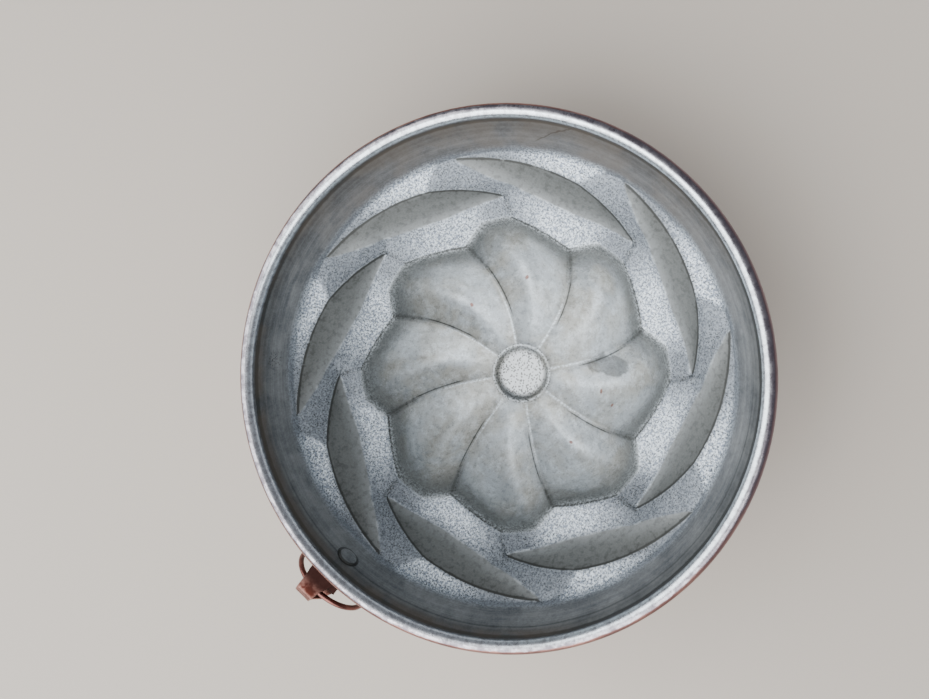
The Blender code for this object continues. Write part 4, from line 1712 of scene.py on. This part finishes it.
        # The lands' bright grains fade out over the foot of the wall.
        rise = ease(self.wall_foot[1], self.wall_foot[1] + self.wall_blend, shell.points[:, 2])
        shell.marks["land"] += shell.marks["wall"] * (1 - rise)
        shell.marks["wall"] *= rise
        for zone in Zone:
            shell.marks[zone.value] = shell.smooth(shell.marks[zone.value], 2)
        for write in (self.mark_lines, self.mark_scoops, self.mark_facets, self.mark_side):
            write(shell)
        closed = shell.thicken(self.thickness, 2)
        return dress(add_piece("pressed_sheet", closed.write("pressed_sheet"), material),
                     Body.MOULD, Slot.SHEET, "mould_body")


@dataclass
class RimWire:
    """The iron wire inside the rolled bead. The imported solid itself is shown."""

    finish: IronWire

    def build(self) -> Object:
        """Give the solid its material.

        Returns:
            The piece.
        """
        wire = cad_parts["rim_wire"]
        wire.data.materials.clear()
        wire.data.materials.append(self.finish.make())
        LOG.info("%s keeps its solid", wire.name)
        return wire


@dataclass
class HangerStrap:
    """The copper strip folded round the ring and riveted to the wall."""

    finish: AgedCopper
    body: PressedBody
    pivot_reach: float = 0.0104
    ring_radius: float = 0.0159
    ring_wire: float = 0.0011
    clearance: float = 0.0003
    sheet: float = 0.0008
    gap: float = 0.0003
    headroom: float = 0.0005
    fold_reach: float = 0.0047
    fold_height: float = 0.0019
    fold_drop: float = 0.0008
    waist_back: float = 0.0020
    room: float = 0.0022
    tail: float = 0.0058
    # How far the strip reaches to either side of the hanger's plane, at four places along it.
    wide: Pair = (0.0070, 0.0070)
    waist: Pair = (0.0064, 0.0024)
    under: Pair = (0.0078, 0.0055)
    tip: Pair = (0.0064, 0.0010)
    # Where the rivet sits, and how the strip's line and edges are rounded.
    rivet_depth: float = 0.0122
    rivet_aside: float = 0.0012
    bend_radius: float = 0.0016
    taper: Pair = (0.5, 0.3)
    knee: float = 0.5
    bend_steps: int = 8
    step: float = 0.0006
    corner: float = 0.0024
    edge_round: float = 0.00028
    edge_steps: int = 4
    across_points: int = 9
    dent: Pair = (0.00006, 0.0030)
    fold_radius: float = 0.0008
    # How far out from the rim the strap takes painted shade under the bead, and where its painted highlight along
    # the fold starts.
    rim_shade_reach: Pair = (0.0050, 0.0135)
    fold_highlight_reach: Pair = (0.0112, 0.0140)

    def __post_init__(self) -> None:
        """Work out the lie of the wall, the strap's top and the ring's pivot."""
        body = self.body
        self.up_wall = Vector((body.wall_lean, 0, body.wall_top[1] - body.wall_foot[1])).normalized()
        self.outwards = Vector((self.up_wall.z, 0, -self.up_wall.x))
        self.rivet = self.on_wall(body.height - self.rivet_depth) + Vector((0, self.rivet_aside, 0))
        self.top = body.height - 2 * body.bead_radius - self.headroom - self.sheet / 2
        self.pivot = Vector((body.rim_radius + self.pivot_reach, 0,
                             self.top - self.sheet / 2 - self.ring_reach(self.waist)))

    def on_wall(self, height: float) -> Vector:
        """Point on the inside of the wall at a height, in the plane of the hanger."""
        radius, foot = self.body.wall_foot
        return Vector((radius, 0, foot)) + self.up_wall * ((height - foot) / self.up_wall.z)

    def flange(self, layer: int, height: float) -> Vector:
        """Point on the middle of a strap layer on the wall, 0 the inner one and 1 the outer.

        Args:
            layer: 0 or 1.
            height: over the ground, in metres.

        Returns:
            The point.
        """
        offset = self.body.thickness + self.gap + self.sheet / 2 + layer * (self.sheet + self.gap)
        point = self.on_wall(height) + self.outwards * offset
        return point + self.up_wall * ((height - point.z) / self.up_wall.z)

    def ring_reach(self, edges: Pair) -> float:
        """How far below its pivot the ring hangs at the strap's outermost edge."""
        inside = self.ring_radius - self.ring_wire
        return self.ring_radius - math.sqrt(inside ** 2 - max(edges) ** 2) + self.clearance

    def corners(self) -> list[tuple[Vector, float, Pair]]:
        """The strap's middle line as corners, each with the radius of its round and the strap's edges.

        Returns:
            Corner, radius and edges of each.
        """
        top, pivot = self.top, self.pivot
        under = pivot.z - self.ring_reach(self.under) - self.sheet / 2
        second = top - self.sheet - self.gap
        low = self.rivet.z - self.tail
        fold = pivot.x + self.fold_reach - self.sheet / 2
        over_tip = tuple(blend(a, b, self.taper[0]) for a, b in zip(self.waist, self.tip))
        under_tip = tuple(blend(a, b, self.taper[1]) for a, b in zip(self.under, self.tip))
        return [(self.flange(0, low), 0.0, self.wide),
                (self.flange(0, top), self.bend_radius, self.wide),
                (Vector((pivot.x - self.waist_back, 0, top)), 0.0, self.waist),
                (Vector((pivot.x + self.room, 0, top)), self.bend_radius, over_tip),
                (Vector((fold, 0, top - self.fold_drop)), self.fold_height / 2, self.tip),
                (Vector((fold, 0, top - self.fold_drop - self.fold_height)), self.fold_height / 2, self.tip),
                (Vector((pivot.x + self.room, 0, under)), self.ring_wire, under_tip),
                (Vector((pivot.x - self.room, 0, under)), self.ring_wire, self.under),
                (Vector((blend(self.body.rim_radius, pivot.x, self.knee), 0, second)), self.bend_radius,
                 self.wide),
                (self.flange(1, second), self.sheet, self.wide),
                (self.flange(1, low), 0.0, self.wide)]

    def line(self) -> list[tuple[Vector, Pair]]:
        """The middle line with rounded corners and a point at least every step.

        Returns:
            Each point with the strap's edges there.
        """
        corners = self.corners()
        points: list[tuple[Vector, Pair]] = []
        for k, (corner, radius, edges) in enumerate(corners):
            if radius == 0.0:
                points.append((corner, edges))
                continue
            back = (corners[k - 1][0] - corner).normalized()
            ahead = (corners[k + 1][0] - corner).normalized()
            half = back.angle(ahead) / 2
            reach = radius * math.cos(half) / math.sin(half)
            middle = corner + (back + ahead).normalized() * (radius / math.sin(half))
            start, end = corner + back * reach - middle, corner + ahead * reach - middle
            for step in range(self.bend_steps + 1):
                points.append((middle + start.slerp(end, step / self.bend_steps) * radius, edges))
        fine = [points[0]]
        for point, edges in points[1:]:
            begin, was = fine[-1]
            steps = max(1, math.ceil((point - begin).length / self.step))
            for step in range(1, steps + 1):
                share = step / steps
                fine.append((begin.lerp(point, share), tuple(blend(a, b, share) for a, b in zip(was, edges))))
        return fine

    def section(self, end: float, edges: Pair) -> list[Pair]:
        """The strip's section, with its rounded edges.

        Args:
            end: how far the nearer end of the strip is.
            edges: how far the strip reaches on both sides.

        Returns:
            How far up and how far aside from the middle each point lies.
        """
        cut, half, soft = 0.0, self.sheet / 2, self.edge_round
        if end < self.corner:
            cut = self.corner - math.sqrt(self.corner ** 2 - (self.corner - end) ** 2)
        lowest, highest = -edges[0] + cut + soft, edges[1] - cut - soft
        across = np.linspace(0.0, 1.0, self.across_points)
        ring = []
        for side, order, turn_at in ((1, across, highest), (-1, across[::-1], lowest)):
            ring += [(half * side, blend(lowest, highest, share)) for share in order]
            for angle in np.arange(1, self.edge_steps) * math.pi / self.edge_steps:
                ring.append((half * side * math.cos(angle), turn_at + side * soft * math.sin(angle)))
        return ring

    def loft(self) -> Mesh:
        """The strip's section swept along its line.

        Returns:
            The closed mesh.
        """
        line = self.line()
        places = np.cumsum([0.0] + [(b[0] - a[0]).length for a, b in zip(line, line[1:])])
        mesh = bpy.data.meshes.new("lofted_strap")
        with opened(mesh) as made:
            grid = []
            for k, (middle, edges) in enumerate(line):
                ahead = line[min(k + 1, len(line) - 1)][0] - line[max(k - 1, 0)][0]
                up = Vector((-ahead.z, 0, ahead.x)).normalized()
                grid.append([made.verts.new(middle + up * off + Vector((0, aside, 0))) for off, aside
                             in self.section(min(places[k], places[-1] - places[k]), edges)])
            skin(made, grid, closed=True)
            caps = [made.faces.new(grid[0]), made.faces.new(grid[-1][::-1])]
            bmesh.ops.recalc_face_normals(made, faces=made.faces)
            bmesh.ops.triangulate(made, faces=caps)
        return mesh

    def build(self) -> Object:
        """Loft the strip, wear it and dress it.

        Returns:
            The piece.
        """
        shell = Shell.read(self.loft())
        shell.roughen(*self.dent, seed=5)
        shell.mark_folds(self.fold_radius, 1)
        # Painted shade darkens the strap near the rim; a painted highlight lightens it towards its fold.
        beyond = shell.points[:, 0] - self.body.rim_radius
        shell.marks["hollow"] = np.maximum(shell.marks["hollow"], 1 - ease(*self.rim_shade_reach, beyond))
        shell.marks["crest"] = np.maximum(shell.marks["crest"], ease(*self.fold_highlight_reach, beyond))
        return dress(add_piece("folded_strap", shell.write("folded_strap"), self.finish.make()),
                     Body.MOULD, Slot.COPPER, "hanger_strap")


@dataclass
class HangerRivet:
    """The rivet: a low wide head inside, tinned over with the lining, and a domed copper tail."""

    strap: HangerStrap
    material: Material
    shank: float = 0.0015
    head: float = 0.0044
    head_thickness: float = 0.0009
    tail: float = 0.0031
    tail_height: float = 0.0015
    clearance: float = 0.0003
    flattening: float = 0.22
    wall_share: float = 0.3
    edge_dirt: float = 1.6
    edge_start: Pair = (0.78, 0.86)
    flat_share: float = 0.8
    flat_stops: tuple[float, ...] = (0.6, 0.4, 0.2, 0.0)
    rim_share: float = 0.72
    rim_curve: float = 0.8
    arc_steps: int = 9
    dent: Pair = (0.00012, 0.0028)
    fold_radius: float = 0.0006
    sides: int = 64

    def profile(self) -> list[tuple[float, float, float]]:
        """Radius, height along the rivet's axis and tin, from the tail's top to the head's middle.

        Returns:
            One triple a ring of points.
        """
        strap = self.strap
        grip = strap.body.thickness + 2 * (strap.gap + strap.sheet)
        outside, inside = grip + self.clearance, -self.clearance
        arc = [math.radians(angle) for angle in np.linspace(0, 90, self.arc_steps)]
        points = [(self.tail * math.cos(angle), outside + self.tail_height * math.sin(angle), 0.0)
                  for angle in reversed(arc)]
        points += [(self.shank, outside, 0.0), (self.shank, inside, 0.0)]
        points += [(self.head * blend(self.flat_share, 1.0, math.cos(angle)),
                    inside - self.head_thickness * self.rim_share * math.sin(angle) ** self.rim_curve, 1.0)
                   for angle in arc]
        for share in self.flat_stops:
            lift = blend(1.0, self.rim_share, share / self.flat_share)
            points.append((self.head * share, inside - self.head_thickness * lift, 1.0))
        return points

    def turned(self, place: Matrix) -> Mesh:
        """The profile turned round the rivet's axis.

        Args:
            place: where the rivet sits and how it is turned.

        Returns:
            The closed mesh, with its tin.
        """
        mesh = bpy.data.meshes.new("hanger_rivet_turned")
        with opened(mesh) as made:
            lining = made.verts.layers.float.new("lining")
            grid = []
            for radius, height, tin in self.profile():
                ring = []
                for angle in 2 * math.pi * np.arange(self.sides) / self.sides:
                    high = radius * math.sin(angle) * (1 - tin * self.flattening)
                    vert = made.verts.new(place @ Vector((radius * math.cos(angle), high, height)))
                    vert[lining] = tin
                    ring.append(vert)
                grid.append(ring)
            skin(made, grid, closed=True)
            bmesh.ops.remove_doubles(made, verts=made.verts, dist=self.strap.body.join)
            bmesh.ops.recalc_face_normals(made, faces=made.faces)
        return mesh

    def build(self) -> Object:
        """Turn the rivet, beat it a little, give it every mark that the sheet's finish reads, and dress it.

        Returns:
            The piece.
        """
        strap, reach = self.strap, self.strap.body.line_reach
        turn = strap.outwards.to_track_quat('Z', 'Y').to_matrix().to_4x4()
        place = Matrix.Translation(strap.rivet) @ turn
        shell = Shell.read(self.turned(place))
        shell.roughen(*self.dent, seed=9, hold=shell.marks["lining"])
        shell.mark_folds(self.fold_radius, 1)
        plain = {zone.value: 0.0 for zone in Zone} | {line.value: reach for line in Line}
        plain |= {Zone.WALL.value: self.wall_share, "seam_side": 0.0, "facet": 0.0, "into_crescent": -reach,
                  "into_petal": -reach}
        shell.marks |= {name: np.full(len(shell.points), value) for name, value in plain.items()}
        local = np.array([tuple(place.inverted() @ Vector(point)) for point in shell.points])
        off = np.hypot(local[:, 0], local[:, 1] / (1 - self.flattening)) / self.head
        edge = ease(*self.edge_start, off) * shell.marks["lining"]
        shell.marks["hollow"] = np.maximum(shell.marks["hollow"], edge * self.edge_dirt)
        shell.marks["crest"] *= 1 - edge
        return dress(add_piece("rivet_heads", shell.write("rivet_heads"), self.material),
                     Body.MOULD, Slot.SHEET, "hanger_rivet")


@dataclass
class HangingRing:
    """The ring of copper wire that swings in the strap."""

    finish: AgedCopper
    strap: HangerStrap
    steps: int = 120
    sides: int = 20
    dent: Pair = (0.00007, 0.0060)
    wear: Pair = (0.9, 0.7)

    def build(self) -> Object:
        """Bend the wire round, wear it a little and dress it.

        Returns:
            The piece.
        """
        material, strap = self.finish.make(), self.strap
        mesh = WireRound().run("wire_ring", bpy.data.meshes.new("ring_seed"),
                               {"Radius": strap.ring_radius, "Wire": strap.ring_wire, "Steps": self.steps,
                                "Sides": self.sides, "Hung from": tuple(strap.pivot), "Material": material})
        with opened(mesh) as made:
            bmesh.ops.remove_doubles(made, verts=made.verts, dist=strap.body.join / 10)
            bmesh.ops.recalc_face_normals(made, faces=made.faces)
        shell = Shell.read(mesh)
        shell.roughen(*self.dent, seed=12)
        middle = np.array((strap.pivot.x, 0.0, strap.pivot.z - strap.ring_radius))
        away = np.linalg.norm((shell.points - middle)[:, 1:], axis=1) - strap.ring_radius
        shell.marks["crest"] = ease(0.0, 1.0, away / strap.ring_wire) * self.wear[0]
        shell.marks["hollow"] = ease(0.0, 1.0, -away / strap.ring_wire) * self.wear[1]
        return dress(add_piece("wire_ring", shell.write("wire_ring"), material),
                     Body.RING, Slot.COPPER, "hanging_ring")


@dataclass
class PhotoCamera:
    """The camera where the photograph was taken."""

    place: Point = (-0.049835, 0.046088, 0.339453)
    right: Point = (-0.61385, 0.74202, -0.26942)
    up: Point = (-0.77134, -0.63640, 0.00471)
    back: Point = (-0.16796, 0.21071, 0.96301)
    lens: float = 29.14
    sensor_width: float = 36.0
    clip_start: float = 0.01

    def build(self) -> Object:
        """Make the scene's camera.

        Returns:
            The camera.
        """
        data = bpy.data.cameras.new("photo_camera")
        data.sensor_width, data.lens, data.clip_start = self.sensor_width, self.lens, self.clip_start
        turn = Matrix((self.right, self.up, self.back)).transposed().to_quaternion()
        camera = linked("photo_camera", data, self.place, turn)
        bpy.context.scene.camera = camera
        return camera


@dataclass
class Lamp:
    """A square soft lamp that looks at the mould."""

    name: str
    azimuth: float
    elevation: float
    distance: float
    size: float
    power: float
    tint: Colour = (253, 253, 252)
    target: Point = (0.0, 0.0, 0.04)

    def build(self) -> Object:
        """Add the lamp.

        Returns:
            The lamp.
        """
        data = bpy.data.lights.new(self.name, 'AREA')
        data.shape, data.size, data.energy, data.color = 'SQUARE', self.size, self.power, linear(self.tint)[:3]
        azimuth, elevation = math.radians(self.azimuth), math.radians(self.elevation)
        away = Vector((math.cos(azimuth) * math.cos(elevation), math.sin(azimuth) * math.cos(elevation),
                       math.sin(elevation)))
        return linked(self.name, data, Vector(self.target) + away * self.distance, away.to_track_quat('Z', 'Y'))


@dataclass
class Studio:
    """A plain pale floor and soft light."""

    floor: Colour = (188, 180, 171)
    floor_shade: Colour = (179, 172, 164)
    sky: Colour = (214, 218, 224)
    sky_strength: float = 0.355
    floor_half: float = 3.0
    floor_cloud: float = 0.25
    lamps: tuple[Lamp, ...] = (Lamp("left_lamp", -50.0, 45.0, 1.3, 1.6, 27.5),
                               Lamp("near_lamp", 35.0, 45.0, 1.3, 1.6, 35.8))

    def build(self) -> None:
        """Add the floor, the world and the lamps."""
        mesh = bpy.data.meshes.new("floor")
        with opened(mesh) as grid:
            bmesh.ops.create_grid(grid, x_segments=1, y_segments=1, size=self.floor_half)
        paint = Paint("floor")
        soft = paint.colour(paint.grain(self.floor_cloud, 2.0) * 0.25, self.floor, self.floor_shade)
        floor = add_piece("floor", mesh, paint.finish(base_color=soft, roughness=0.85))
        world = bpy.data.worlds.new("soft_sky")
        world.use_nodes = True
        sky = world.node_tree.nodes["Background"]
        sky.inputs["Color"].default_value = linear(self.sky)
        sky.inputs["Strength"].default_value = self.sky_strength
        bpy.context.scene.world = world
        for lamp in self.lamps:
            lamp.build()


def main() -> None:
    """Build the camera, then the pieces in order, then the studio."""
    logging.basicConfig(level=logging.INFO, format="%(name)s: %(message)s")
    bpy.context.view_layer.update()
    PhotoCamera().build()
    body = PressedBody(TinnedSheet(OUTSIDE_COPPER))
    pressed = body.build()
    RimWire(IronWire()).build()
    strap = HangerStrap(STRAP_COPPER, body)
    strap.build()
    HangerRivet(strap, pressed.data.materials[0]).build()
    HangingRing(RING_COPPER, strap).build()
    Studio().build()
    bpy.context.view_layer.update()


if __name__ == "__main__":
    main()
